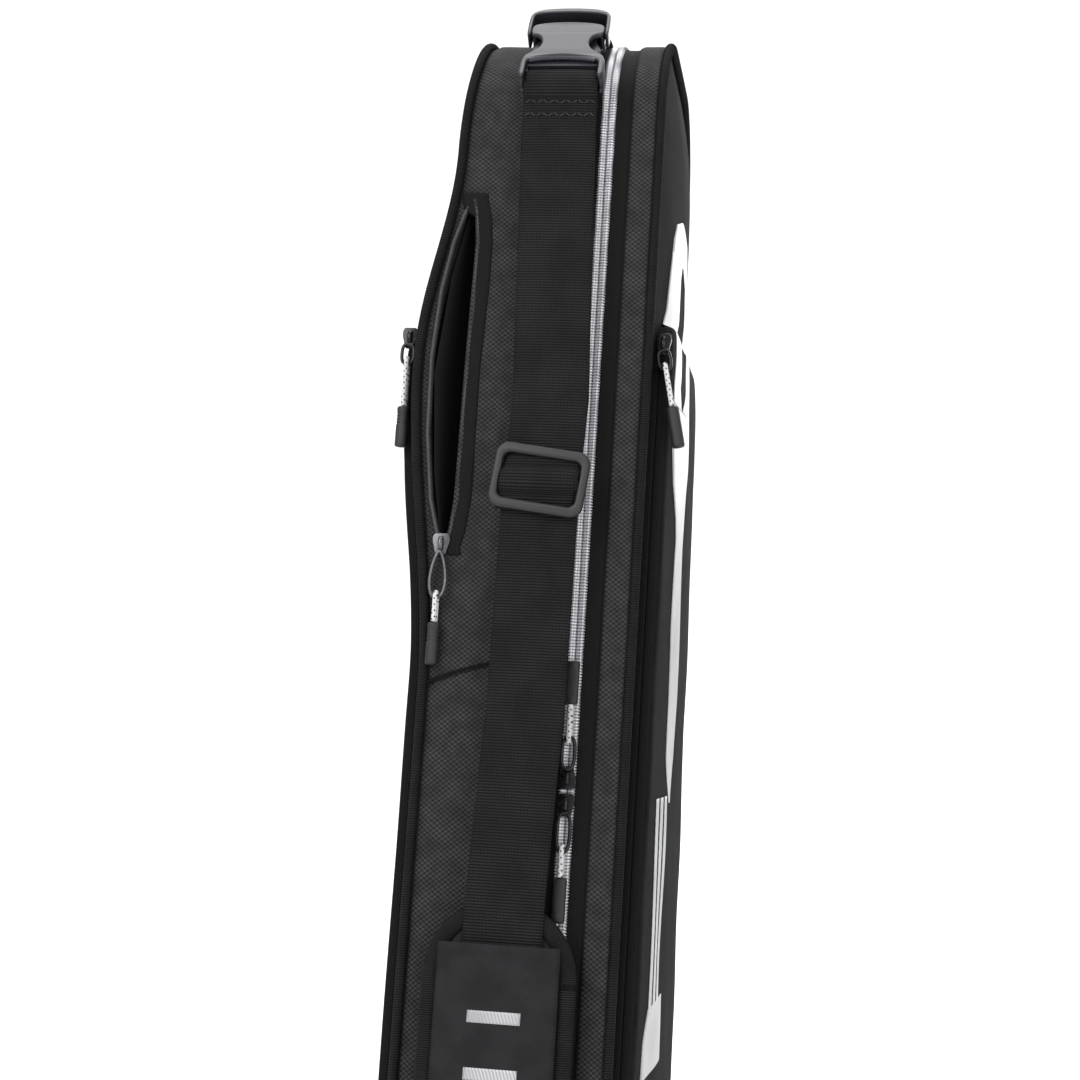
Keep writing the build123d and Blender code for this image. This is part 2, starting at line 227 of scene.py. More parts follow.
# ---------------------------------------------------------------- materials
class Nodes:
    """A material's node tree, with short calls for the patterns that cloth is made of."""

    def __init__(self, name, source="UV"):
        self.mat = bpy.data.materials.new(name)
        self.mat.use_nodes = True
        self.tree = self.mat.node_tree
        self.bsdf = self.tree.nodes["Principled BSDF"]
        coord = self.add("ShaderNodeTexCoord")
        scale = self.add("ShaderNodeVectorMath", operation="SCALE")
        scale.inputs[3].default_value = 10.0 if source == "UV" else 1000.0
        self.tree.links.new(coord.outputs[source], scale.inputs[0])
        self.point = scale.outputs[0]
        split = self.add("ShaderNodeSeparateXYZ")
        self.tree.links.new(self.point, split.inputs[0])
        self.axis = split.outputs

    def add(self, kind, **values):
        node = self.tree.nodes.new(kind)
        for key, value in values.items():
            setattr(node, key, value)
        return node

    def put(self, socket, value):
        if isinstance(value, (int, float, tuple)):
            socket.default_value = value
        else:
            self.tree.links.new(value, socket)

    def math(self, operation, a, b=0.0, c=0.0):
        node = self.add("ShaderNodeMath", operation=operation)
        for socket, value in zip(node.inputs, (a, b, c)):
            self.put(socket, value)
        return node.outputs[0]

    def wave(self, value, pitch, phase=0.0):
        """0 to 1 and back once per pitch millimetres."""
        turned = self.math("MULTIPLY_ADD", value, 2 * math.pi / pitch, phase)
        return self.math("MULTIPLY_ADD", self.math("SINE", turned), 0.5, 0.5)

    def noise(self, pitch, detail=2.0, low=0.35, high=0.65):
        node = self.add("ShaderNodeTexNoise")
        node.inputs["Scale"].default_value = 1.0 / pitch
        node.inputs["Detail"].default_value = detail
        self.put(node.inputs["Vector"], self.point)
        ramp = self.add("ShaderNodeMapRange")
        ramp.inputs["From Min"].default_value, ramp.inputs["From Max"].default_value = low, high
        self.put(ramp.inputs["Value"], node.outputs["Fac"])
        return ramp.outputs[0]

    def mix(self, fac, a, b):
        node = self.add("ShaderNodeMix", data_type="RGBA")
        self.put(node.inputs[0], fac)
        self.put(node.inputs[6], (*a, 1.0) if isinstance(a, tuple) else a)
        self.put(node.inputs[7], (*b, 1.0) if isinstance(b, tuple) else b)
        return node.outputs[2]

    def finish(self, colour, roughness, height=None, depth=0.3, metallic=0.0, sheen=0.0, coat=0.0, shine=0.5):
        bsdf = self.bsdf.inputs
        self.put(bsdf["Base Color"], (*colour, 1.0) if isinstance(colour, tuple) else colour)
        self.put(bsdf["Roughness"], roughness)
        bsdf["Metallic"].default_value = metallic
        bsdf["Sheen Weight"].default_value = sheen
        bsdf["Sheen Roughness"].default_value = 0.5
        bsdf["Specular IOR Level"].default_value = shine
        bsdf["Coat Weight"].default_value = coat
        if height is not None:
            bump = self.add("ShaderNodeBump")
            bump.inputs["Strength"].default_value = 1.0
            bump.inputs["Distance"].default_value = depth * MM
            self.put(bump.inputs["Height"], height)
            self.put(bsdf["Normal"], bump.outputs[0])
        return self.mat


def grey(v, blue=1.06):
    return (v, v, v * blue)


def mesh_cloth(name, dark=0.003, light=0.042):
    """Honeycomb mesh over a dark backing: staggered cells, a little lighter on the threads."""
    n = Nodes(name)
    u, v = n.axis[0], n.axis[1]
    cells = n.math("MULTIPLY", n.wave(u, 2.4), n.wave(v, 3.0))
    other = n.math("MULTIPLY", n.wave(u, 2.4, math.pi), n.wave(v, 3.0, math.pi))
    lattice = n.math("ADD", cells, other)
    uneven = n.noise(9.0)
    tone = n.math("MULTIPLY", lattice, n.math("MULTIPLY_ADD", uneven, 0.45, 0.55))
    fine = n.wave(n.math("ADD", u, v), 0.8)
    return n.finish(n.mix(tone, grey(dark), grey(light)), 0.78,
                    n.math("MULTIPLY_ADD", fine, 0.15, lattice), 0.45, shine=0.18)


def twill_cloth(name, value=0.012, pitch=1.1, sheen=0.0):
    n = Nodes(name)
    u, v = n.axis[0], n.axis[1]
    slant = n.wave(n.math("MULTIPLY_ADD", v, 0.8, u), pitch)
    across = n.wave(n.math("MULTIPLY_ADD", v, -1.3, u), pitch * 0.7)
    weave = n.math("MULTIPLY_ADD", across, 0.35, slant)
    tone = n.math("MULTIPLY", weave, n.math("MULTIPLY_ADD", n.noise(14.0), 0.4, 0.6))
    return n.finish(n.mix(tone, grey(value * 0.55), grey(value * 1.9)), 0.9, weave, 0.12, sheen=sheen,
                    shine=0.05)


def ribbed_cloth(name, value=0.014, pitch=1.5, across_pitch=2.1, depth=0.5, along=0):
    """Webbing and binding: firm ribs across the band, made of staggered picks."""
    n = Nodes(name)
    u, v = n.axis[along], n.axis[1 - along]
    rib = n.wave(u, pitch)
    pick = n.wave(v, across_pitch)
    height = n.math("MULTIPLY", n.math("POWER", rib, 0.6), n.math("MULTIPLY_ADD", pick, 0.35, 0.65))
    tone = n.math("MULTIPLY", height, n.math("MULTIPLY_ADD", n.noise(20.0), 0.35, 0.65))
    return n.finish(n.mix(tone, grey(value * 0.1), grey(value * 2.4)), 0.78, height, depth, shine=0.1)


def tape_cloth(name, value=0.004):
    n = Nodes(name)
    u, v = n.axis[0], n.axis[1]
    height = n.math("ADD", n.wave(v, 0.9), n.math("MULTIPLY", n.wave(u, 1.4), 0.4))
    return n.finish(n.mix(n.math("MULTIPLY", height, 0.6), grey(value * 0.6), grey(value * 1.9)), 0.75,
                    height, 0.15,
                    shine=0.12)


def plastic(name, value, roughness=0.38, speckle=0.1, source="Object", blue=1.2):
    n = Nodes(name, source)
    grain = n.noise(0.35, 3.0)
    rough = n.math("MULTIPLY_ADD", grain, speckle, roughness)
    tone = n.mix(n.noise(18.0), grey(value * 0.85, blue), grey(value * 1.15, blue))
    return n.finish(tone, rough, grain, 0.02)


def metal(name, value, roughness=0.25, metallic=0.9):
    n = Nodes(name, "Object")
    worn = n.noise(2.5, 4.0, 0.5, 0.75)
    return n.finish(n.mix(worn, grey(value), grey(value * 1.8)),
                    n.math("MULTIPLY_ADD", worn, 0.15, roughness),
                    n.noise(0.5), 0.01, metallic=metallic)


def silver_coil():
    """Silver thread-wrapped coil."""
    n = Nodes("silver_coil")
    u = n.axis[0]
    strand = n.wave(u, 1.5)
    tone = n.mix(n.math("MULTIPLY", strand, n.math("MULTIPLY_ADD", n.noise(6.0), 0.2, 0.8)), grey(0.2),
                 grey(0.72))
    return n.finish(tone, 0.36, strand, 0.12, metallic=0.3)


def flecked_cord():
    """White braid with black flecks that wind round it."""
    n = Nodes("flecked_cord", "Object")
    x, y, z = n.axis
    wind = n.math("MULTIPLY_ADD", x, 1.1, z)
    back = n.math("MULTIPLY_ADD", x, -1.1, z)
    fleck = n.math("GREATER_THAN", n.math("MULTIPLY", n.wave(wind, 2.7), n.wave(back, 3.3, 1.0)), 0.62)
    braid = n.math("ADD", n.wave(wind, 0.7), n.wave(back, 0.7))
    return n.finish(n.mix(fleck, grey(0.6, 1.0), grey(0.012)), 0.6, braid, 0.12)


def reflective():
    """Light reflective film with faint slanting lines."""
    n = Nodes("reflective_film")
    u, v = n.axis[0], n.axis[1]
    line = n.wave(n.math("MULTIPLY_ADD", v, 0.35, u), 1.6)
    tone = n.mix(n.math("MULTIPLY", line, n.noise(30.0, 2.0, 0.2, 0.6)), grey(0.248, 1.03), grey(0.422, 1.02))
    return n.finish(tone, 0.42, line, 0.05, metallic=0.15)


MESH = mesh_cloth("mesh_cloth")
TWILL = twill_cloth("twill_cloth", 0.007)
PAD_CLOTH = twill_cloth("pad_cloth", 0.014, 1.0)
LINING = twill_cloth("lining_cloth", 0.02, 0.7)
WEBBING = ribbed_cloth("webbing_weave", 0.008, 1.4, 1.6, 0.4)
BINDING_CLOTH = ribbed_cloth("ribbed_binding", 0.007, 1.05, 40.0, 0.35)
PIPING = ribbed_cloth("ribbed_piping", 0.006, 1.2, 40.0, 0.2)
TAPE = tape_cloth("zip_tape_weave")
COIL_SILVER = silver_coil()
COIL_BLACK = plastic("black_coil", 0.02, 0.4)

GLIDE = plastic("adjuster_plastic", 0.004, 0.45, 0.1)
RUBBER = plastic("pull_rubber", 0.004, 0.55, 0.1)
GUARD = plastic("base_guard_rubber", 0.007, 0.6, 0.15)
BLACK_METAL = metal("black_metal", 0.015, 0.22, 0.7)
NICKEL = metal("dark_nickel", 0.09, 0.32, 0.9)
CORD = flecked_cord()
FILM = reflective()
THREAD = plastic("stitch_thread", 0.010, 0.6)


def dress(obj, material, body, slot, *nodes):
    """Gives a piece its material, its body and the CAD nodes that it stands for; the slot is not used."""
    obj.data.materials.clear()
    obj.data.materials.append(material)
    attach(obj, body)
    if nodes:
        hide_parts(*nodes)
    return obj


# ---------------------------------------------------------------- camera, in the photograph's view
def place_camera():
    azimuth, elevation, roll = math.radians(8.39), math.radians(-4.52), math.radians(2.869)
    target, distance, focal, pixels = Vector((4.735, -130.0, 487.2)) * MM, 0.92466, 1908.97, 1080.0
    back = Vector((math.sin(azimuth) * math.cos(elevation), -math.cos(azimuth) * math.cos(elevation),
                   math.sin(elevation)))
    side = Vector((0, 0, 1)).cross(back).normalized()
    up = back.cross(side)
    x = side * math.cos(roll) + up * math.sin(roll)
    y = -side * math.sin(roll) + up * math.cos(roll)
    data = bpy.data.cameras.new("camera")
    data.sensor_width = 36.0
    data.lens = 36.0 * focal / pixels
    data.clip_start, data.clip_end = 0.05, 50
    camera = bpy.data.objects.new("camera", data)
    place = Matrix((x, y, back)).transposed().to_4x4()
    place.translation = target + back * distance
    camera.matrix_world = place
    bpy.context.scene.collection.objects.link(camera)
    bpy.context.scene.camera = camera


place_camera()


# ---------------------------------------------------------------- frames used by hardware
def on_side(x, z, turned=False, inset=0.0):
    """A frame on the zip side in mm: -Y out of the bag and +Z up the side, or down it when turned."""
    m = Matrix.Translation((x, side_y(z), z)) @ Matrix.Rotation(-LEAN, 4, "X")
    if turned:
        m = m @ Matrix.Rotation(math.pi, 4, "Y")
    return m @ Matrix.Translation((0, inset, 0))


def put(place, points):
    """Points in mm, moved by a frame in mm."""
    m = np.array(place)
    return np.asarray(points, float) @ m[:3, :3].T + m[:3, 3]


def rounded_rect(width, height, radius, count=6, centre=(0, 0)):
    points = []
    for cx, cy, a0 in ((1, 1, 0), (-1, 1, 90), (-1, -1, 180), (1, -1, 270)):
        for i in range(count + 1):
            a = math.radians(a0 + 90 * i / count)
            points.append((centre[0] + cx * (width / 2 - radius) + radius * math.cos(a),
                           centre[1] + cy * (height / 2 - radius) + radius * math.sin(a)))
    return points


def plate(name, outer, holes, y0, y1, place, round_mm=0.5, segments=3):
    """A flat plate with holes, drawn in X and Z and as thick as y0 to y1, with its edges rounded."""
    curve = bpy.data.curves.new(name, "CURVE")
    curve.dimensions = "2D"
    curve.fill_mode = "BOTH"
    for loop in [outer, *holes]:
        spline = curve.splines.new("POLY")
        spline.points.add(len(loop) - 1)
        for point, (x, z) in zip(spline.points, loop):
            point.co = (x * MM, z * MM, 0, 1)
        spline.use_cyclic_u = True
    curve.extrude = (y1 - y0) / 2 * MM - round_mm * MM
    curve.bevel_depth = round_mm * MM
    curve.bevel_resolution = segments
    curve.offset = -round_mm * MM
    temp = link(name + "_curve", curve)
    mesh = bpy.data.meshes.new_from_object(temp.evaluated_get(bpy.context.evaluated_depsgraph_get()))
    bpy.data.objects.remove(temp)
    co = np.array([v.co for v in mesh.vertices]) / MM
    local = np.stack([co[:, 0], (y0 + y1) / 2 - co[:, 2], co[:, 1]], 1)
    obj = new_mesh(name, put(place, local), [tuple(p.vertices) for p in mesh.polygons])
    bpy.data.meshes.remove(mesh)
    bm = bmesh.new()
    bm.from_mesh(obj.data)
    bmesh.ops.remove_doubles(bm, verts=bm.verts, dist=0.00002)
    bmesh.ops.recalc_face_normals(bm, faces=bm.faces)
    bm.to_mesh(obj.data)
    bm.free()
    obj.data.set_sharp_from_angle(angle=0.7)
    return obj


def loft(name, sections, place, closed=True, caps=True):
    """Skin over closed sections of equal point counts, each a list of local mm points."""
    points = put(place, np.array(sections, float).reshape(-1, 3))
    count, rows = len(sections[0]), len(sections)
    faces = []
    for r in range(rows - 1):
        for c in range(count if closed else count - 1):
            a, b = r * count + c, r * count + (c + 1) % count
            faces.append((a, b, b + count, a + count))
    if caps:
        faces.append(tuple(range(count - 1, -1, -1)))
        faces.append(tuple((rows - 1) * count + c for c in range(count)))
    obj = new_mesh(name, points, faces)
    bm = bmesh.new()
    bm.from_mesh(obj.data)
    bmesh.ops.recalc_face_normals(bm, faces=bm.faces)
    bm.to_mesh(obj.data)
    bm.free()
    return obj


# ---------------------------------------------------------------- zip pulls and their cords
RING_PLANE, RING_W, RING_BAR, RING_T = 4.7, 8.0, 1.8, 1.8
CORD_D, CORD_APART, END_D, END_LENGTH, PIN = 2.4, 4.4, 6.4, 21.5, 4.0
CORD_NEAR = 4.4


def hung_frame(place, cant):
    return (place @ Matrix.Translation((0, 0, PIN)) @ Matrix.Rotation(math.radians(cant), 4, "Y")
            @ Matrix.Translation((0, 0, -PIN)))


def pull_cord(name, place, ring_length, length):
    """The folded cord: out of the rubber end, over the ring's bar and back."""
    top = PIN + ring_length - RING_BAR - CORD_D / 2 - 0.4
    low, half = top + length, CORD_APART / 2
    route = [(0, -RING_PLANE - half, low), (0, -RING_PLANE - half, top + CORD_NEAR),
             (0, -RING_PLANE - half, top), (0, -RING_PLANE + half, top),
             (0, -RING_PLANE + half, top + CORD_NEAR), (0, -RING_PLANE + half, low)]
    route = put(place, route)
    data = bpy.data.curves.new(name, "CURVE")
    data.dimensions = "3D"
    data.bevel_depth = CORD_D / 2 * MM
    data.bevel_resolution = 4
    data.resolution_u = 16
    data.use_fill_caps = True
    spline = data.splines.new("NURBS")
    spline.points.add(len(route) - 1)
    for point, co in zip(spline.points, route):
        point.co = (*(co * MM), 1)
    spline.order_u = 3
    spline.use_endpoint_u = True
    cord = link(name, data)
    tube_length = 2 * length + CORD_APART - 2 * 0.45 * CORD_APART * (2 - math.pi / 2)
    return cord, route, tube_length


def ring_links(name, place, length, kind):
    """The pull's loop: a flat rounded ring, or a drop-shaped one."""
    low, high = PIN - 1, PIN + length
    count = 40
    section = [(math.cos(a), math.sin(a)) for a in np.linspace(0, 2 * np.pi, 10, endpoint=False)]
    rows = []
    for a in np.linspace(0, 2 * np.pi, count, endpoint=False):
        if kind == "drop":
            x = math.sin(a) * (RING_W / 2 + 0.6 - RING_BAR / 2) * (1 - 0.35 * math.cos(a))
            z = (low + high) / 2 + -math.cos(a) * ((high - low) / 2 - RING_BAR / 2)
        else:
            sx, sz = math.sin(a), -math.cos(a)
            x = math.copysign(abs(sx) ** 0.6, sx) * (RING_W / 2 - RING_BAR / 2)
            z = (low + high) / 2 + math.copysign(abs(sz) ** 0.75, sz) * ((high - low) / 2 - RING_BAR / 2)
        rows.append((x, z))
    rows = np.array(rows)
    tangent = np.roll(rows, -1, 0) - np.roll(rows, 1, 0)
    tangent /= np.linalg.norm(tangent, axis=1)[:, None]
    points = np.zeros((count, len(section), 3))
    for i, (x, z) in enumerate(rows):
        nx, nz = tangent[i][1], -tangent[i][0]
        for k, (c, s) in enumerate(section):
            points[i, k] = (x + nx * c * RING_BAR / 2, -RING_PLANE + s * RING_T / 2 * 0.9, z + nz * c
                            * RING_BAR / 2)
    shape = put(place, points.reshape(-1, 3)).reshape(points.shape)
    return grid(name, shape, np.zeros((*points.shape[:2], 2)), wrap_rows=True, wrap_cols=True)


def slider_shape(name, place, width):
    """Slider seen from outside: a waisted top plate and the bridge that holds the ring."""
    outline_points = []
    for z, half in ((-5.5, 0.62), (-5.0, 0.82), (-4.0, 0.94), (-2.5, 1.0), (-0.5, 0.94), (1.5, 0.80),
                    (3.0, 0.72),
                    (4.4, 0.66), (5.2, 0.5), (5.5, 0.3)):
        outline_points.append((width / 2 * half, z))
    left = [(-x, z) for x, z in reversed(outline_points)]
    top = plate(name + "_plate", outline_points + left, [], -3.2, -1.3, place, 0.45)
    sections = []
    for t in np.linspace(0, 1, 13):
        z = -3.9 + 7.4 * t
        rise = math.sin(math.pi * t) ** 0.5
        y = -2.6 - 2.1 * rise
        half = 1.25
        thick = 0.75
        sections.append([(half * math.cos(a) if abs(math.cos(a)) > 0.1 else 0.0, y + thick * math.sin(a), z)
                         for a in np.linspace(0, 2 * np.pi, 12, endpoint=False)])
    bridge = loft(name + "_bridge", sections, place)
    return [top, bridge]


def rubber_end(name, place, ring_length, length, ribs, flat):
    """The moulded end of a pull: rounded at both ends, flattened or ribbed."""
    low = PIN + ring_length - RING_BAR - CORD_D / 2 - 0.4 + length
    rows, around = 44, 24
    points, uvs = np.zeros((rows, around, 3)), np.zeros((rows, around, 2))
    angle = np.linspace(0, 2 * np.pi, around, endpoint=False)
    for i, t in enumerate(np.linspace(0, 1, rows)):
        z = low + END_LENGTH * t
        near = min(t, 1 - t) * END_LENGTH
        r = END_D / 2 * (1 if near > 1.4 else math.sqrt(max(0.0, 1 - (1 - near / 1.4) ** 2)) * 0.45 + 0.55)
        if near < 0.001:
            r *= 0.02
        if ribs and 0.12 < t < 0.45:
            r *= 0.93 + 0.07 * math.cos(t * END_LENGTH * 2 * math.pi / 1.7)
        panel = 0.0
        if flat and 0.14 < t < 0.86:
            panel = 0.35 * smooth(np.minimum(t - 0.14, 0.86 - t) / 0.05)
        y = np.sin(angle) * r * (0.62 if flat else 0.94)
        x = np.cos(angle) * r
        inner = np.exp(-(x / (r * 0.55 + 0.01)) ** 6)
        y = y - np.sign(np.sin(angle)) * panel * inner
        points[i] = np.stack([x, -RING_PLANE + y, np.full(around, z)], 1)
        uvs[i] = np.stack([angle * 3, np.full(around, z)], 1)
    shape = put(place, points.reshape(-1, 3)).reshape(points.shape)
    return grid(name, shape, uvs, wrap_cols=True)


def zip_pull(name, place, width, ring_length, length, cant, metal_look, kind, ribs, flat):
    hung = hung_frame(place, cant)
    cord, route, tube_length = pull_cord(name + "_cord_loop", hung, ring_length, length)
    dress(cord, CORD, name + "_pull", "pull_cord", name + "_pull_cord")
    end = rubber_end(name + "_rubber_end", hung, ring_length, length, ribs, flat)
    dress(end, RUBBER, name + "_pull", "pull_rubber", name + "_pull_end")
    ring = ring_links(name + "_ring", hung, ring_length, kind)
    dress(ring, metal_look, name + "_pull", "slider_metal", name + "_pull_ring")
    body = join(name + "_runner", [dress_plain(o, metal_look) for o in slider_shape(name, place, width)])
    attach(body, name + "_slider")
    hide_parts(name + "_slider")


def dress_plain(obj, material):
    obj.data.materials.clear()
    obj.data.materials.append(material)
    return obj


MEET_Z, MEET_GAP = 367.0, 6.5
zip_pull("upper_zip", on_side(PARTING_X, MEET_Z + MEET_GAP), 9.0, 16.0, 18.0, 0, BLACK_METAL, "ring", False,
         True)
zip_pull("lower_zip", on_side(PARTING_X, MEET_Z - MEET_GAP, True), 9.0, 19.0, 14.5, 0, BLACK_METAL, "ring",
         False, True)
zip_pull("phone_zip", on_side(-46.5, 484, True), 9.0, 24.0, 14.5, 0, NICKEL, "drop", True, False)
zip_pull("front_zip", on_side(57.3, 592, True, POCKET_INSET - 1), 8.0, 11.0, 22.0, -12, BLACK_METAL, "ring",
         False, False)
zip_pull("rear_zip", on_side(-72.8, 592, True, POCKET_INSET - 1), 8.0, 11.0, 25.0, 0, BLACK_METAL, "ring",
         True, False)


# ---------------------------------------------------------------- shell of the bag
BAG_CORNERS = [(-BASE_HALF, FOOT, BASE_ROUND), (-WIDE_HALF, WIDE_Z, SIDE_ROUND),
               (-TOP_HALF, HEIGHT, TOP_ROUND)]
P, N, S = rounded(BAG_CORNERS, 3.0)
ZIP_SIDE = P[:, 0] < 0
ON_SPINE = (P[:, 0] > 0) & (P[:, 1] > SPINE_LOW) & (P[:, 1] < SPINE_HIGH)
ROWS = len(P)
PERIMETER = S[-1] + 3.0


def rear_edge(y, z):
    """X of the rear face's edge: pushed out over the phone pocket and drawn in a little at the top."""
    return REAR_X - bulge(y, z) + 4.5 * smooth((z - 690) / 70) * (y < 60)


def on_outline(rows, x, out):
    """Points at those rows of the outline, at x and standing out by that much."""
    y = P[rows, 0][:, None] + N[rows, 0][:, None] * out
    z = P[rows, 1][:, None] + N[rows, 1][:, None] * out
    return np.stack(np.broadcast_arrays(x, y, z), 2)


def pillow(t, edge=0.12):
    """0 at both edges and 1 in between, with soft shoulders."""
    return smooth(np.minimum(t, 1 - t) / edge)


def band(name, rows, x0, x1, columns, puff, closed, base=-0.6, rough=0.35, seed=0.0):
    """A strip of gusset between two edges that may differ row by row."""
    t = np.linspace(0, 1, columns)[None, :]
    x = x0[:, None] * (1 - t) + x1[:, None] * t
    s = S[rows][:, None]
    out = base + puff * pillow(t) + ripple(s, x, rough, 11.0, seed) * pillow(t, 0.2)
    points = on_outline(rows, x, out)
    uvs = np.stack(np.broadcast_arrays(s, x), 2)
    return grid(name, points, uvs, wrap_rows=closed)


ALL = np.arange(ROWS)
rear_x = rear_edge(P[:, 0], P[:, 1])
deep_edge = np.where(ON_SPINE, PARTING_X - 0.2, TAPE_EDGE)
lid_edge = np.where(ON_SPINE, PARTING_X + 0.2, 2 * PARTING_X - TAPE_EDGE)

# Phone pocket's mouth: two edges, as heights against X.
MOUTH_Z = np.array([482.0, 492, 507, 540, 580, 615, 640, 655, 663])
MOUTH_FRONT = np.array([-45.5, -43.2, -41.6, -41.3, -41.0, -40.4, -40.0, -41.3, -43.2])
MOUTH_REAR = np.array([-45.5, -49.0, -53.0, -57.0, -58.0, -55.5, -51.0, -46.5, -43.2])
MOUTH_LOW, MOUTH_HIGH = MOUTH_Z[0], MOUTH_Z[-1]


def deep_gusset():
    """The deep half's side wall, one mesh all the way round, with the phone pocket's mouth left open."""
    rear_cols, front_cols = 9, 17
    z = P[:, 1]
    middle = np.interp(z, MOUTH_Z, MOUTH_FRONT, left=-45.5, right=-43.2)
    blend_low = smooth((z - 300) / 150)
    middle = np.where(z < MOUTH_LOW, -35 * (1 - blend_low) + middle * blend_low, middle)
    inside = ZIP_SIDE & (z > MOUTH_LOW) & (z < MOUTH_HIGH)
    mouth_front = np.where(inside, np.interp(z, MOUTH_Z, MOUTH_FRONT), middle)
    mouth_rear = np.where(inside, np.interp(z, MOUTH_Z, MOUTH_REAR), middle)
    tr, tf = np.linspace(0, 1, rear_cols)[None, :], np.linspace(0, 1, front_cols)[None, :]
    xr = rear_x[:, None] * (1 - tr) + mouth_rear[:, None] * tr
    xf = mouth_front[:, None] * (1 - tf) + deep_edge[:, None] * tf
    x = np.concatenate([xr, xf], 1)
    across = (x - rear_x[:, None]) / (deep_edge - rear_x)[:, None]
    lip = 1.2 * inside[:, None] * np.exp(-((x - mouth_front[:, None]) / 3.5) ** 2)
    flap = 2.4 * inside[:, None] * smooth((x - rear_x[:, None]) / 8) * (x < mouth_rear[:, None] + 0.01)
    out = -0.6 + 1.8 * pillow(across, 0.1) + ripple(S[:, None], x, 0.3, 13.0, 1.0) * pillow(across,
            0.2) + lip - flap * 0.6
    points = on_outline(ALL, x, out)
    uvs = np.stack(np.broadcast_arrays(S[:, None], x), 2)
    obj = grid("deep_gusset", points, uvs, wrap_rows=True, keep=lambda r, c: c != rear_cols - 1)
    bm = bmesh.new()
    bm.from_mesh(obj.data)
    bmesh.ops.remove_doubles(bm, verts=bm.verts, dist=0.00005)
    bmesh.ops.recalc_face_normals(bm, faces=bm.faces)
    bm.to_mesh(obj.data)
    bm.free()
    thicken(obj, 2.4)
    return obj


gusset = deep_gusset()
dress(gusset, MESH, "deep_half", "mesh_fabric", "deep_zip_side_gusset", "deep_top_gusset",
      "deep_spine_gusset",
      "deep_base_gusset")
lid_gusset = band("lid_gusset", ALL, lid_edge, np.full(ROWS, FRONT_X - 0.3), 12, 2.0, True, seed=2.0)
thicken(lid_gusset, 2.4)
dress(lid_gusset, MESH, "lid", "mesh_fabric", "lid_zip_side_gusset", "lid_top_gusset", "lid_spine_gusset",
      "lid_base_gusset")

# Seams beside the piping and the tape: a narrow folded edge.
def seam_fold(name, x_at, body, rows=ALL, closed=True, width=1.6, high=0.7, level=0.0):
    t = np.linspace(0, 1, 6)[None, :]
    x = x_at[rows][:, None] + (t - 0.5) * width
    out = level + high * np.sin(np.pi * t)
    points = on_outline(rows, x, out)
    uvs = np.stack(np.broadcast_arrays(S[rows][:, None], x), 2)
    obj = grid(name, points, uvs, wrap_rows=closed)
    return dress(obj, TAPE, body, "shell_fabric")


seam_fold("lid_zip_seam", np.where(ON_SPINE, PARTING_X + 1.4, 2 * PARTING_X - TAPE_EDGE + 0.6), "lid")
seam_fold("deep_zip_seam", np.where(ON_SPINE, PARTING_X - 1.4, TAPE_EDGE - 0.6), "deep_half")


def piping(name, x_at, body, node, radius=2.5, out=0.9):
    """Corded edge with a ribbed cover, all the way round."""
    fine = np.arange(0, PERIMETER, 0.3)
    closed_s = np.append(S, PERIMETER)
    y = np.interp(fine, closed_s, np.append(P[:, 0], P[0, 0]))
    z = np.interp(fine, closed_s, np.append(P[:, 1], P[0, 1]))
    ny = np.interp(fine, closed_s, np.append(N[:, 0], N[0, 0]))
    nz = np.interp(fine, closed_s, np.append(N[:, 1], N[0, 1]))
    x = np.interp(fine, closed_s, np.append(x_at, x_at[0]))
    angle = np.linspace(0, 2 * np.pi, 12, endpoint=False)
    rib = 0.5 + 0.5 * np.cos(2 * np.pi * fine / 1.2)
    r = radius * (0.93 + 0.07 * rib)[:, None]
    wave = ripple(fine, fine * 0, 0.15, 17.0, 3.0)[:, None]
    offset_out = out + wave + r * np.cos(angle)[None, :]
    px = x[:, None] + r * np.sin(angle)[None, :]
    points = np.stack([px, y[:, None] + ny[:, None] * offset_out, z[:, None] + nz[:, None] * offset_out], 2)
    uvs = np.stack(np.broadcast_arrays(fine[:, None], (angle * radius)[None, :]), 2)
    obj = grid(name, points, uvs, wrap_rows=True, wrap_cols=True)
    return dress(obj, PIPING, body, "piping", node)


piping("front_edge_piping", np.full(ROWS, FRONT_X + 1.2), "lid", "front_piping")
piping("rear_edge_piping", rear_x - 1.2, "deep_half", "rear_piping")


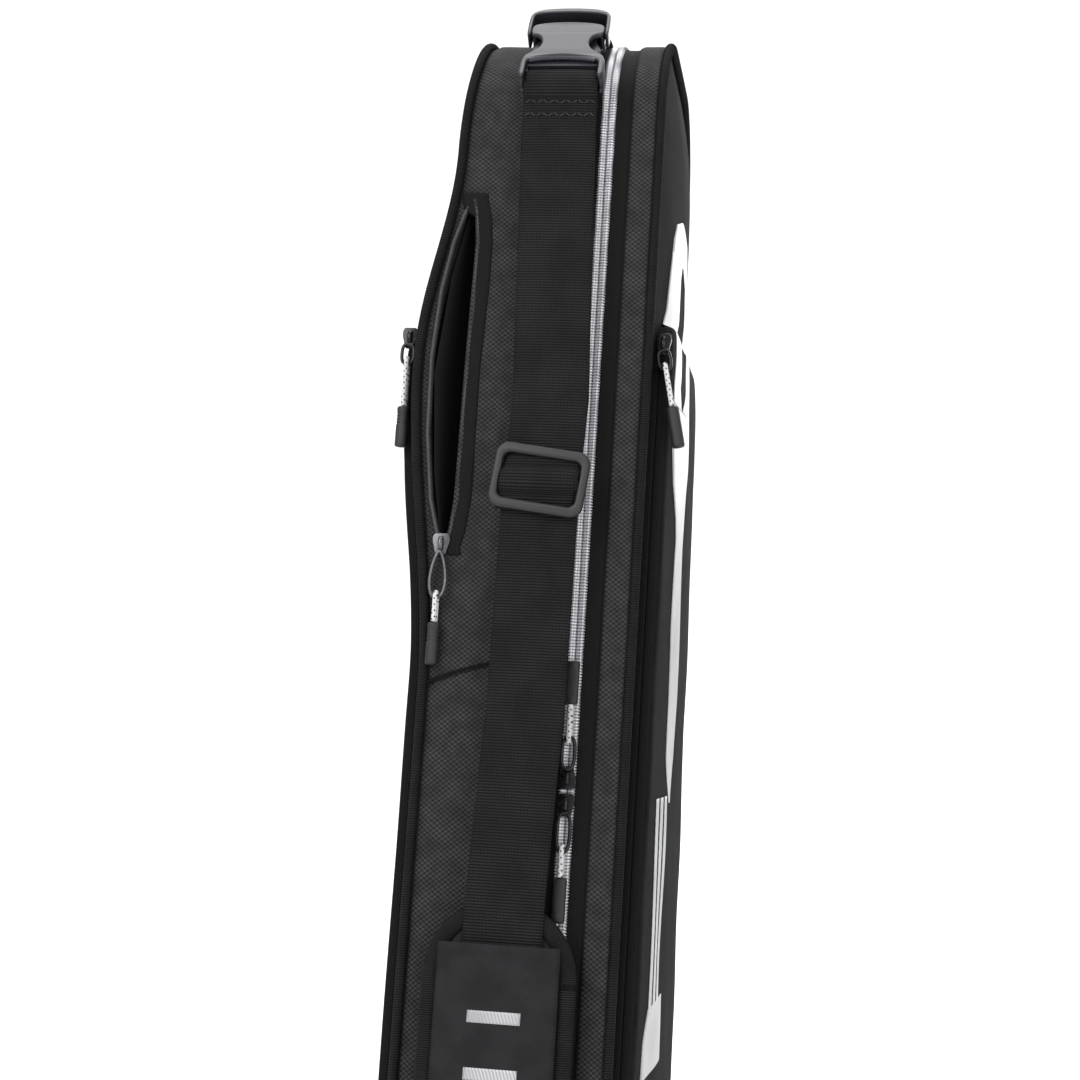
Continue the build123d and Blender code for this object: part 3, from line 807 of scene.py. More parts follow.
def face_panel(name, corners, x_face, crown, sign, step, rim_rings, seed):
    """A fabric face inside a rounded outline: rim rings first, then a crowned field."""
    p, n, s = rounded(corners, step)
    low, high = corners[0][1], corners[-1][1]
    centre = np.stack([np.zeros(len(p)), np.clip(p[:, 1], low + 90, high - 90)], 1)
    rings, xs = [], []
    for inset, x in rim_rings:
        rings.append(p - n * inset)
        xs.append(np.full(len(p), x))
    start = rings[-1]
    for t in np.linspace(0, 1, 26)[1:]:
        q = start * (1 - t) + centre * t
        rings.append(q)
        rise = crown * (1 - (1 - t) ** 2.2)
        xs.append(np.full(len(p), rim_rings[-1][1] + sign * rise))
    q, x = np.array(rings), np.array(xs)
    soft = np.linspace(0, 1, len(rings))[:, None]
    x = x + sign * ripple(q[..., 0], q[..., 1], 0.5, 23.0, seed) * smooth(soft * 6)
    if sign < 0:
        x = x - bulge(q[..., 0], q[..., 1])
        x = x + 4.5 * smooth((q[..., 1] - 690) / 70) * (1 - smooth(soft * 3)) * (x > -70)
    points = np.stack([x, q[..., 0], q[..., 1]], 2)
    uvs = np.stack([q[..., 0] + 3 * (x - x_face), q[..., 1]], 2)
    obj = grid(name, points, uvs, wrap_cols=True, flip=sign > 0)
    mesh = bmesh.new()
    mesh.from_mesh(obj.data)
    middle = [v for v in mesh.verts if abs(v.co.y) < 1e-5 and low + 80 < v.co.z / MM < high - 80]
    bmesh.ops.remove_doubles(mesh, verts=middle, dist=0.5 * MM)
    mesh.to_mesh(obj.data)
    mesh.free()
    return obj


def x_faces(rings, x0):
    return [(inset, x0 + dx) for inset, dx in rings]


front_face = face_panel("front_face", BAG_CORNERS, FRONT_X, 9.0, 1, 4.0,
                        [(0.2, FRONT_X - 0.3), (2.5, FRONT_X + 0.1), (5.0, FRONT_X + 0.5)], 5.0)
thicken(front_face, 1.6)
dress(front_face, TWILL, "lid", "shell_fabric", "front_panel")
rear_face = face_panel("rear_face", BAG_CORNERS, REAR_X, 1.6, -1, 4.0,
                       [(0.2, REAR_X + 0.3), (2.5, REAR_X - 0.1), (5.0, REAR_X - 0.5)], 6.0)
thicken(rear_face, 1.6)
dress(rear_face, TWILL, "deep_half", "shell_fabric", "rear_panel")

# Quilted linings that show when the lid swings open.
INNER_CORNERS = [(-BASE_HALF + 3.2, FOOT + 3.2, BASE_ROUND - 3),
                 (-WIDE_HALF + 3.1, WIDE_Z + 0.3, SIDE_ROUND - 3),
                 (-TOP_HALF + 3.3, HEIGHT - 3.2, TOP_ROUND - 3)]


def lining(name, x_board, x_skin, body, node):
    """The padded inner face, with its diagonal quilting."""
    p, n, _ = rounded(INNER_CORNERS, 4.0)
    sign = 1 if x_board > x_skin else -1
    centre = np.stack([np.zeros(len(p)), np.clip(p[:, 1], 100, 670)], 1)
    rings, xs = [p * 1.0, p - n * 1.0, p - n * 3.0], [x_skin, x_board - sign * 1.5, x_board]
    rows = [(r, np.full(len(p), x)) for r, x in zip(rings, xs)]
    for t in np.linspace(0, 1, 60)[1:]:
        q = rings[-1] * (1 - t) + centre * t
        quilt = np.abs(np.sin((q[:, 0] + q[:, 1]) / 13.0) * np.sin((q[:, 0] - q[:, 1]) / 13.0)) ** 0.35
        rows.append((q, x_board + sign * (1.3 * quilt * smooth(t * 8) - 0.6)))
    q, x = np.array([r[0] for r in rows]), np.array([r[1] for r in rows])
    x = x - bulge(q[..., 0], q[..., 1]) * (sign > 0)
    obj = grid(name, np.stack([x, q[..., 0], q[..., 1]], 2), q.copy(), wrap_cols=True, flip=sign > 0)
    return dress(obj, LINING, body, "lined_foam", node)


lining("rear_lining", REAR_X + 6.0, REAR_X + 1.6, "deep_half", "rear_lined_board")
lining("front_lining", FRONT_X - 6.0, FRONT_X - 1.6, "lid", "front_lined_board")


# ---------------------------------------------------------------- main zip
def rows_off_spine(low, high):
    """The rows from the top of the spine's fold round the base side to its other end, in order."""
    hidden = (P[:, 0] > 0) & (P[:, 1] > low) & (P[:, 1] < high)
    first = np.where(hidden)[0]
    return np.concatenate([np.arange(first[-1] + 1, ROWS), np.arange(0, first[0])])


def refine(rows, step):
    """Fine points, normals and lengths along those rows of the outline."""
    p, n = P[rows], N[rows]
    s = np.concatenate([[0], np.cumsum(np.linalg.norm(np.diff(p, axis=0), axis=1))])
    at = np.arange(0, s[-1], step)
    return (np.stack([np.interp(at, s, p[:, i]) for i in range(2)], 1),
            np.stack([np.interp(at, s, n[:, i]) for i in range(2)], 1), at)


def strip(name, rows, profile, step=1.5):
    """A strip along the outline whose cross-section is a list of (x, out) in mm."""
    p, n, s = refine(rows, step)
    profile = np.array(profile, float)
    x, out = profile[:, 0][None, :], profile[:, 1][None, :]
    points = np.stack(np.broadcast_arrays(x, p[:, 0][:, None] + n[:, 0][:, None] * out,
                                          p[:, 1][:, None] + n[:, 1][:, None] * out), 2)
    uvs = np.stack(np.broadcast_arrays(s[:, None], x + 0 * s[:, None]), 2)
    return grid(name, points, uvs)


tape_rows = rows_off_spine(SPINE_LOW, SPINE_HIGH)
for side, body in ((-1, "deep_half"), (1, "lid")):
    half = "deep" if side < 0 else "lid"
    profile = [(PARTING_X + side * x, out) for x, out in
               ((0.4, -0.9), (1.2, -0.3), (4.2, -0.2), (6.0, -0.55), (9.0, -0.6), (11.5, -0.4), (12.4, -0.9))]
    tape = strip(half + "_tape", tape_rows, profile, 3.0)
    thicken(tape, 1.0)
    dress(tape, TAPE, body, "zip_tape", half + "_zip_tape")


def coil(name, side, body, node):
    """Half of the zip chain: a wrapped coil with a tooth at every turn, a seam groove along its middle."""
    rows = rows_off_spine(158, 724)
    p, n, s = refine(rows, 0.35)
    turn = 0.5 + 0.5 * np.cos(2 * np.pi * s / COIL_PITCH + (0 if side < 0 else np.pi))
    across = np.array([0.05, 0.35, 0.9, 1.5, 2.1, 2.7, 3.1, 3.45, 3.6])
    height = np.array([0.05, 0.55, 0.95, 0.7, 1.05, 1.15, 0.9, 0.5, -0.2])
    tooth = np.array([0.45, 0.5, 0.35, 0.25, 0.4, 0.5, 0.6, 0.55, 0.2])
    reach = across[None, :] + np.array([0.1, 0, 0, 0, 0, 0.05, 0.3, 0.65, 0.75])[None,
            :] * (turn[:, None] - 0.4)
    out = height[None, :] * 1.15 + 0.3 - tooth[None, :] * 0.85 * (1 - turn[:, None])
    x = PARTING_X + side * reach
    points = np.stack([x, p[:, 0][:, None] + n[:, 0][:, None] * out, p[:, 1][:, None] + n[:, 1][:, None]
                       * out], 2)
    uvs = np.stack(np.broadcast_arrays(s[:, None], x), 2)
    obj = grid(name, points, uvs)
    return dress(obj, COIL_SILVER, body, "zip_coil", node)


COIL_PITCH = 1.4
coil("deep_chain", -1, "deep_half", "deep_zip_coil")
coil("lid_chain", 1, "lid", "lid_zip_coil")


# ---------------------------------------------------------------- outer pockets
def pocket_corners(top):
    low_y = -BASE_HALF + POCKET_INSET / 0.977 - (POCKET_BOTTOM - FOOT) * 32 / 147
    top_y = side_y(top) + POCKET_INSET / math.cos(LEAN)
    return [(low_y, POCKET_BOTTOM, 22.0), (-137.9, 150.7, 188.0), (top_y, top, 22.0)]


FRONT_CORNERS, REAR_CORNERS = pocket_corners(FRONT_POCKET_TOP), pocket_corners(REAR_POCKET_TOP)
FRONT_CROWN, REAR_CROWN = 4.5, 2.5
FRONT_RIM = [(-1.0, 0.4), (0.0, 1.2), (0.0, 4.0), (-0.4, 7.0), (-0.2, 9.5), (0.6, 11.3), (2.2, 12.3),
             (5.0, 12.8)]
front_pocket = face_panel("front_pocket", FRONT_CORNERS, FRONT_X, FRONT_CROWN, 1, 3.0,
                          x_faces(FRONT_RIM, FRONT_X), 7.0)
thicken(front_pocket, 1.5)
dress(front_pocket, TWILL, "lid", "shell_fabric", "front_pocket_wall", "front_pocket_panel")
rear_pocket = face_panel("rear_pocket", REAR_CORNERS, REAR_X, REAR_CROWN, -1, 3.0,
                         x_faces([(i, -d * 0.93) for i, d in FRONT_RIM], REAR_X), 8.0)
thicken(rear_pocket, 1.5)
dress(rear_pocket, TWILL, "deep_half", "shell_fabric", "rear_pocket_wall", "rear_pocket_panel")


def pocket_zip(name, corners, x0, sign, body, node, z0, z1):
    """A covered zip along the pocket's side: two lips of tape that meet over a hidden coil."""
    p, n, s = rounded(corners, 1.5)
    keep = (p[:, 0] < 0) & (p[:, 1] > z0) & (p[:, 1] < z1) & (np.abs(n[:, 0]) > 0.9)
    p, n, s = p[keep], n[keep], s[keep]
    profile = np.array([(1.0, 0.1), (1.6, 0.9), (4.6, 1.0), (5.5, 0.9), (5.75, 0.25), (6.0, 0.9), (7.0, 1.0),
                        (10.2, 0.9), (10.8, 0.1)])
    x = x0 + sign * profile[:, 0][None, :]
    if sign < 0:
        x = x - bulge(p[:, 0], p[:, 1])[:, None]
    out = profile[:, 1][None, :]
    points = np.stack(np.broadcast_arrays(x, p[:, 0][:, None] + n[:, 0][:, None] * out,
                                          p[:, 1][:, None] + n[:, 1][:, None] * out), 2)
    obj = grid(name, points, np.stack(np.broadcast_arrays(s[:, None], profile[:, 0][None, :]), 2))
    return dress(obj, TAPE, body, "zip_tape", node)


pocket_zip("front_pocket_lips", FRONT_CORNERS, FRONT_X, 1, "lid", "front_pocket_zip", 190, 578)
pocket_zip("rear_pocket_lips", REAR_CORNERS, REAR_X, -1, "deep_half", "rear_pocket_zip", 190, 578)


FRONT_TREES = [bvhtree.BVHTree.FromObject(o, bpy.context.evaluated_depsgraph_get())
               for o in (front_face, front_pocket)]


def on_front(y, z):
    """X of the bag's front at that place, in mm: over the pocket, or on the panel above it."""
    highest = -1.0
    for tree in FRONT_TREES:
        hit = tree.ray_cast(Vector((0.2, y * MM, z * MM)), Vector((-1, 0, 0)))[0]
        highest = max(highest, hit.x / MM if hit else -1.0)
    return highest


def film(rows):
    """One run of reflective film on the front: rows of (z, left y, right y), from its top down."""
    rows = np.array(rows, float)
    z = np.append(np.arange(rows[0, 0], rows[-1, 0], -2.0), rows[-1, 0])
    left = np.interp(z, rows[::-1, 0], rows[::-1, 1])
    right = np.interp(z, rows[::-1, 0], rows[::-1, 2])
    t = np.linspace(0, 1, 13)[None, :]
    y = left[:, None] + (right - left)[:, None] * t
    zz = z[:, None] + 0 * t
    x = np.vectorize(on_front)(y, zz) + 0.45
    obj = grid("film", np.stack([x, y, zz], 2), np.stack([y, zz], 2))
    thicken(obj, 0.3, 1.0)
    return dress_plain(obj, FILM)


def graphic(name, runs):
    obj = join(name, [film(run) for run in runs])
    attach(obj, "lid")


# ---------------------------------------------------------------- phone pocket's inside and its zip
def pouch():
    """The pouch behind the mouth: a soft-cornered lining with room for a phone."""
    sections = []
    for t in np.linspace(0, 1, 24):
        y_in = 2.5 + 76 * t
        close = 1 - 0.55 * t ** 3
        section = []
        low, high = 476.0, 669.0
        for a in np.linspace(0, 2 * np.pi, 40, endpoint=False):
            cz = (low + high) / 2 + math.copysign(abs(math.sin(a)) ** 0.35,
                                                  math.sin(a)) * (high - low) / 2 * (1 - 0.03 * t)
            rear = -42.6 - float(bulge(np.array(side_y(cz) + y_in), np.array(cz)))
            front = -35.3
            cx = (rear + front) / 2 + math.copysign(abs(math.cos(a)) ** 0.6,
                                                    math.cos(a)) * (front - rear) / 2 * close
            section.append((cx, side_y(cz) + y_in, cz))
        sections.append(section)
    obj = loft("phone_pocket_lining", sections, Matrix.Identity(4), caps=False)
    return dress(obj, LINING, "deep_half", "pocket_lining", "phone_pouch")


pouch()


def mouth_teeth(name, x_line, side):
    """A fine coil along one edge of the mouth."""
    z = np.arange(488.0, 660.0, 0.4)
    x = np.interp(z, MOUTH_Z, x_line)
    y = side_y(z)
    ridge = 0.5 + 0.5 * np.cos(2 * np.pi * z / 1.25)
    profile = np.array([(-0.4, 0.1), (0.2, 1.3), (0.9, 1.8), (1.7, 1.3), (2.2, 0.3)])
    reach = profile[:, 0][None, :] * side + side * 0.35 * ridge[:, None] * np.array([1, 1, 0.3, 0, 0])[None,
            :] * -1
    out = profile[:, 1][None, :] - 0.5 * (1 - ridge[:, None]) + 0.7
    points = np.stack([x[:, None] + reach, y[:, None] - out * math.cos(LEAN), z[:, None] + out
                       * math.sin(LEAN)], 2)
    obj = grid(name, points, np.stack(np.broadcast_arrays(z[:, None], reach), 2))
    return dress_plain(obj, COIL_BLACK)


def mouth_tape():
    """The smooth zip tape sewn along the mouth's front edge, with a squared upper end."""
    z = np.arange(479.0, 667.0, 1.5)
    u = np.array([0.0, 0.06, 0.2, 0.5, 0.8, 0.93, 1.0])
    start = np.interp(z, MOUTH_Z, MOUTH_FRONT, left=-44.5, right=-43.2) + 1.2
    width = 7.2 + 0.4 * np.sin(z / 19.0)
    close = smooth((z - 652) / 6)
    start = start - close * 7.0
    x = start[:, None] + (width + close * 7.0)[:, None] * u[None, :]
    out = np.array([0.9, 2.0, 2.2, 2.0, 2.1, 1.7, 0.9])[None, :] + 0 * x
    points = np.stack([x, side_y(z)[:, None] - out * math.cos(LEAN), z[:, None] + out * math.sin(LEAN)], 2)
    obj = grid("phone_pocket_tape", points, np.stack([z[:, None] + 0 * x, x], 2))
    thicken(obj, 0.8)
    dress(obj, TAPE, "deep_half", "zip_tape")


mouth_tape()


def gusset_seam():
    """The seam that runs across the side below the phone pocket, with its row of stitches."""
    x = np.linspace(-50.0, -12.0, 60)
    z = 415.5 + (x + 50) * 0.33 + 1.2 * np.sin((x + 50) / 12.0)
    pieces = []
    for dz, radius in ((0.0, 0.85), (-1.6, 0.3)):
        path = np.stack([x, side_y(z + dz) - 1.15, z + dz], 1)
        rib = 0.5 if dz else 0.0
        pieces.append(dress_plain(tube("seam", path, np.tile((0.0, -1.0, 0.1), (len(x), 1)), radius, 0.5, 8,
                                       rib, 2.4),
                                  TAPE))
    obj = join("gusset_cross_seam", pieces)
    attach(obj, "deep_half")


gusset_seam()
teeth = join("phone_pocket_teeth", [mouth_teeth("teeth_front", MOUTH_FRONT, 1),
                                    mouth_teeth("teeth_rear", MOUTH_REAR, -1)])
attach(teeth, "deep_half")
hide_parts("phone_zip_edges")


# ---------------------------------------------------------------- buckle
TOP_BEND_Y = -(TOP_HALF - TOP_ROUND * math.tan(math.radians(45) - LEAN / 2))
TOP_BEND_Z = HEIGHT - TOP_ROUND
BUCKLE_REACH = TOP_ROUND + 10.5
BUCKLE = Matrix.Translation((0, TOP_BEND_Y - BUCKLE_REACH * math.cos(BUCKLE_TILT),
                             TOP_BEND_Z + BUCKLE_REACH * math.sin(BUCKLE_TILT)))
BUCKLE = BUCKLE @ Matrix.Rotation(-BUCKLE_TILT, 4, "X")
HALF_W = 21.75


def mirrored(right):
    """A closed outline from its right half, given from the top middle down to the bottom middle."""
    return right + [(-x, z) for x, z in reversed(right) if abs(x) > 0.01]


def crowned(obj, place, amount, half_width, low, high):
    """Swells the outer face of a moulded plate so that it is convex across and along."""
    inverse = np.array(place.inverted())
    co = np.array([v.co for v in obj.data.vertices]) / MM
    local = co @ inverse[:3, :3].T + inverse[:3, 3]
    u = np.clip(local[:, 0] / half_width, -1, 1)
    v = np.clip((local[:, 2] - (low + high) / 2) / ((high - low) / 2), -1, 1)
    local[:, 1] -= amount * (1 - u ** 2) * (1 - 0.6 * v ** 2) * (local[:, 1] < 0)
    moved = put(place, local) * MM
    obj.data.vertices.foreach_set("co", moved.astype(np.float32).ravel())
    obj.data.update()


def socket_outline():
    """Right half of the socket: a broad top, a round side window, then rails that reach lower."""
    half = [(0.0, 16.6), (8.0, 16.4), (14.0, 15.8), (17.6, 14.8), (19.0, 13.0), (19.2, 10.0), (19.0, 7.6)]
    half += [(18.2, 6.4), (16.6, 6.0), (14.2, 4.2), (12.7, 1.4), (12.3, -1.6), (12.7, -4.6), (14.6, -7.6)]
    half += [(17.8, -9.6), (20.4, -11.8), (21.3, -15.0), (21.5, -20.0), (21.5, -26.0), (20.7, -28.2)]
    half += [(19.6, -28.5), (18.8, -27.6), (18.6, -25.0), (18.6, -17.4), (17.8, -15.6), (14.0, -14.3)]
    half += [(7.0, -13.4), (0.0, -13.0)]
    return half


def smoothed(half, rounds=2):
    """Chaikin's corner cutting on an open run of points."""
    points = [np.array(p, float) for p in half]
    for _ in range(rounds):
        cut = [points[0]]
        for a, b in zip(points[:-1], points[1:]):
            cut += [a * 0.75 + b * 0.25, a * 0.25 + b * 0.75]
        points = cut + [points[-1]]
    return [(float(p[0]), float(p[1])) for p in points]


def build_buckle():
    face = plate("socket_face", mirrored(smoothed(socket_outline())), [], -6.4, -3.4, BUCKLE, 1.1, 4)
    crowned(face, BUCKLE, 1.6, HALF_W, -28, 19)
    back = plate("socket_back", mirrored(smoothed(socket_outline())), [], 2.8, 5.4, BUCKLE, 0.9, 3)
    pieces = [face, back]
    for side in (-1, 1):
        for width, height, x, z, y0, y1 in ((2.2, 8.0, 17.6, 11.6, -4.6, 3.6),
                                            (2.2, 15.0, 20.2, -19.8, -4.8, 4.0),
                                            (1.6, 22.0, 5.6, 2.0, -4.0, 3.4)):
            bar = rounded_rect(width, height, width * 0.45, 4, (side * x, z))
            pieces.append(plate("socket_bar", bar, [], y0, y1, BUCKLE, 0.5))
    shut = rounded_rect(36.6, 3.6, 0.8, 4, (0, -15.6))
    pieces.append(plate("socket_shut", shut, [], -4.2, 3.4, BUCKLE, 0.4))
    cross = rounded_rect(38.0, 3.0, 1.4, 4, (0, -22.4))
    pieces.append(plate("socket_cross", cross, [], -1.6, 1.4, BUCKLE, 0.9))
    edge = [(x, z) for x, z in smoothed([(-17.4, -15.2), (-14.0, -14.0), (-7.0, -13.1), (0.0, -12.8),
                                         (7.0, -13.1),
                                         (14.0, -14.0), (17.4, -15.2)])]
    lip = tube("socket_lip", put(BUCKLE, [(x, -5.6, z) for x, z in edge]), [(0, -1, 0)] * len(edge), 1.5,
               0.6, 12)
    pieces.append(lip)
    socket = join("buckle_socket_shell", [dress_plain(p, BUCKLE_PLASTIC) for p in pieces])
    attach(socket, "deep_half")
    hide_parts("buckle_socket")

    right = [(0.0, 29.2), (9.0, 29.0), (15.0, 28.2), (18.8, 26.8), (20.8, 24.0), (21.3, 20.5), (21.3, 9.0),
             (20.9, 6.4), (20.2, 6.0), (19.5, 6.6), (19.3, 9.0), (19.2, 20.6), (18.6, 23.4), (16.4, 24.6),
             (9.0, 25.1),
             (0.0, 25.3)]
    frame_face = plate("latch_arch", mirrored(smoothed(right)), [], -6.6, 2.4, BUCKLE, 0.9, 4)
    crowned(frame_face, BUCKLE, 1.2, HALF_W, 9, 29)
    foot_bar = rounded_rect(38.0, 3.0, 1.3, 4, (0, 17.4))
    roll = plate("latch_foot", foot_bar, [], -2.4, 2.4, BUCKLE, 0.9)
    tongue = plate("latch_tongue", rounded_rect(7.0, 20.0, 1.6, 4, (0, -1.0)), [], -2.0, 2.0, BUCKLE, 0.6)
    latch = join("buckle_latch_frame", [dress_plain(p, BUCKLE_PLASTIC) for p in (frame_face, roll, tongue)])
    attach(latch, "deep_half")
    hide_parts("buckle_latch")

    for side, node in ((1, "buckle_prong_front"), (-1, "buckle_prong_rear")):
        run = [(11.0, 15.0), (14.0, 15.0), (14.4, 8.0), (15.6, 4.6), (17.4, 1.0), (17.4, -3.2), (16.0, -6.4),
               (13.4, -8.0), (11.4, -7.0), (10.8, -3.0), (11.2, 4.0)]
        run = smoothed(run + [run[0]])[:-1]
        outer = [(x * side, z) for x, z in run]
        arm = plate(node + "_arm", outer, [], -2.6, 2.6, BUCKLE, 0.9, 3)
        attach(dress_plain(arm, BUCKLE_PLASTIC), node)
        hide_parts(node)


BUCKLE_PLASTIC = plastic("satin_buckle_plastic", 0.013, 0.34, 0.08, blue=1.4)
build_buckle()


# ---------------------------------------------------------------- webbing
def ribbon(name, path, width=STRAP_W, thick=WEB, centre=0.0, cols=17, step=1.5, seed=0.0):
    """Webbing along rows of (y, z, out-direction y, out-direction z, centre x), with both faces and edges."""
    path = np.asarray(path, float)
    s = np.concatenate([[0], np.cumsum(np.linalg.norm(np.diff(path[:, :2], axis=0), axis=1))])
    at = np.arange(0, s[-1] + 0.01, step)
    rows = np.stack([np.interp(at, s, path[:, i]) for i in range(path.shape[1])], 1)
    n = rows[:, 2:4] / np.linalg.norm(rows[:, 2:4], axis=1)[:, None]
    u = np.linspace(-1, 1, cols)
    round_edge = thick / 2 * np.sqrt(np.clip(1 - np.clip((np.abs(u) - 0.95) / 0.05, 0, 1) ** 2, 0, 1)) + 0.02
    face = [(x * width / 2, h) for x, h in zip(u, round_edge)]
    under = [(x * width / 2, -h) for x, h in zip(u[::-1], round_edge[::-1])]
    section = np.array(face + under)
    bow = 0.45 * (1 - (section[:, 0] / (width / 2)) ** 2)
    out = section[:, 1][None, :] + bow[None, :] + ripple(at, at * 0, 0.25, 24.0, seed)[:, None]
    x = centre + rows[:, 4][:, None] + section[:, 0][None, :]
    points = np.stack([x, rows[:, 0][:, None] + n[:, 0][:, None] * out, rows[:, 1][:, None]
                       + n[:, 1][:, None] * out], 2)
    uvs = np.stack(np.broadcast_arrays(at[:, None], x), 2)
    return grid(name, points, uvs, wrap_cols=True)


def local(y, z):
    p = BUCKLE @ Vector((0, y, z))
    return p.y, p.z


def off_side(z, out):
    return side_y(z) - out * math.cos(LEAN), z + out * math.sin(LEAN)


STRAP_TOP, STRAP_LOW = local(4.6, -31.0), off_side(PAD_TOP - 4, STRAP_OFF)
STRAP_LEAN = math.atan2(STRAP_TOP[0] - STRAP_LOW[0], STRAP_TOP[1] - STRAP_LOW[1])
# The webbing wanders a little sideways between the buckle and the pad.
STRAP_Z = [195.0, 315.0, 409.0, 477.0, 516.0, 557.0, 630.0, 699.0, 745.0]
STRAP_X = [-1.5, -0.5, 3.0, 3.2, 3.6, 5.3, 2.6, 0.2, 0.0]


def build_strap():
    points = [off_side(z, STRAP_OFF) for z in (195, 250, 295, 311)]
    for z in np.linspace(330, STRAP_TOP[1] - 2, 24):
        y = STRAP_LOW[0] + (z - STRAP_LOW[1]) * math.tan(STRAP_LEAN)
        points.append((y, z))
    points += [local(2.8, -32.5), local(-1.6, -27.0), local(-3.0, -22.6), local(-2.2, -20.2),
               local(0.2, -19.4),
               local(2.6, -20.6), local(3.2, -24.0), local(4.4, -30.0)]
    p = np.array(smoothed(points, 2))
    t = np.gradient(p, axis=0)
    n = np.stack([-t[:, 1], t[:, 0]], 1)
    c = np.interp(p[:, 1], STRAP_Z, STRAP_X)
    strap = ribbon("shoulder_webbing", np.concatenate([p, n, c[:, None]], 1), seed=1.0)
    dress(strap, WEBBING, "deep_half", "webbing", "strap_webbing")


def strap_point(z, out=0.0):
    y = STRAP_LOW[0] + (z - STRAP_LOW[1]) * math.tan(STRAP_LEAN)
    return y - out * math.cos(STRAP_LEAN), z + out * math.sin(STRAP_LEAN)


def stitch_row(name, height, half, out_at, body, pitch=3.0, zigzag=0.0):
    """A row of raised thread stitches across the webbing."""
    pieces = []
    for i, x in enumerate(np.arange(-half, half, pitch)):
        y, z = out_at(height)
        path = [(x + pitch * 0.12, y, z + zigzag * (1 if i % 2 else -1)),
                (x + pitch * 0.45, y - 0.35, z), (x + pitch * 0.8, y, z - zigzag * (1 if i % 2 else -1))]
        pieces.append(dress_plain(tube(name + "_t", path, [(0, -1, 0.1)] * 3, 0.32, 0.5, 6), THREAD))
    obj = join(name, pieces)
    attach(obj, body)
    return obj


build_strap()
stitch_row("strap_stitches_high", 712.0, 17.5, lambda z: strap_point(z, 1.55), "deep_half", zigzag=0.7)
stitch_row("strap_stitches_low", 705.0, 17.5, lambda z: strap_point(z, 1.55), "deep_half", zigzag=0.7)

OVER = math.radians(76)
anchor_points = [local(0.6, 12.0), local(-0.4, 18.0), local(-0.8, 21.6), local(1.4, 24.2), local(5.0, 24.0),
                 (TOP_BEND_Y - 57.6 * math.cos(OVER), TOP_BEND_Z + 57.6 * math.sin(OVER)),
                 (TOP_BEND_Y + 4, HEIGHT + 1.8), (TOP_BEND_Y + 16, HEIGHT + 1.2), (-5.0, HEIGHT + 1.2),
                 (20.0, HEIGHT + 1.2)]
p = np.array(smoothed(anchor_points, 3))
t = np.gradient(p, axis=0)
anchor = ribbon("top_anchor", np.concatenate([p, np.stack([-t[:, 1], t[:, 0]], 1), 0 * p[:, :1]], 1),
                seed=2.0)
dress(anchor, WEBBING, "deep_half", "webbing", "top_anchor_webbing")
low_dir = math.atan((WIDE_HALF - BASE_HALF) / (WIDE_Z - FOOT))


def off_low(z, out):
    y = -BASE_HALF - (z - FOOT) * math.tan(low_dir)
    return y - out * math.cos(low_dir), z - out * math.sin(low_dir)


base_centre = (-61.7, 73.4)
sewn = []
for z in np.linspace(44, 13, 8):
    a = math.asin((z - base_centre[1]) / (BASE_ROUND + 1.3))
    sewn.append((base_centre[0] - (BASE_ROUND + 1.3) * math.cos(a), z))
low_points = [off_low(112, STRAP_OFF), off_low(85, STRAP_OFF + 0.4), off_low(62, STRAP_OFF - 1.0),
              off_low(50, 6.0)] + sewn
p = np.array(smoothed(low_points, 3))
t = np.gradient(p, axis=0)
lower = ribbon("base_webbing", np.concatenate([p, np.stack([t[:, 1], -t[:, 0]], 1), 0 * p[:, :1] - 0.0], 1),
               seed=3.0)
dress(lower, WEBBING, "deep_half", "webbing", "lower_webbing")


# ---------------------------------------------------------------- three-bar adjuster
GLIDE_ROLL = math.radians(7)


def build_glide():
    y, z = strap_point(GLIDE_Z)
    place = (Matrix.Translation((GLIDE_X, y, z)) @ Matrix.Rotation(-STRAP_LEAN, 4, "X")
             @ Matrix.Rotation(GLIDE_ROLL, 4, "Y"))
    out = WEB / 2 + 0.3 + 2.25
    outer = rounded_rect(47.0, 33.0, 6.5, 8)
    hole = rounded_rect(38.4, 22.4, 3.4, 8)
    rim = plate("glide_plate", outer, [hole], -out - 2.6, -out + 1.9, place, 1.6, 4)
    bar = plate("glide_bar", rounded_rect(41.0, 5.0, 1.2, 4), [], -4.8, -2.3, place, 0.8)
    body = join("adjuster_frame", [dress_plain(rim, GLIDE), dress_plain(bar, GLIDE)])
    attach(body, "strap_adjuster")
    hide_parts("strap_adjuster")
    loop_points = []
    for k in np.linspace(-1, 1, 33):
        height = k * 14.8
        lift = -1.2 - 5.4 * math.exp(-(height / 5.6) ** 4) - 1.6 * math.exp(-((abs(height) - 8.5) / 3.5) ** 2)
        loop_points.append((height, lift))
    rows = []
    for height, lift in loop_points:
        co = place @ Vector((0, lift, height))
        rows.append((co.y, co.z))
    p = np.array(rows)
    t = np.gradient(p, axis=0)
    n = np.stack([-t[:, 1], t[:, 0]], 1)
    centres = np.array([(place @ Vector((0, 0, h))).x for h, _ in loop_points])
    loop = ribbon("adjuster_webbing", np.concatenate([p, n, centres[:, None]], 1), width=38.6, seed=4.0,
                  step=0.8)
    dress(loop, WEBBING, "strap_adjuster", "webbing")


build_glide()


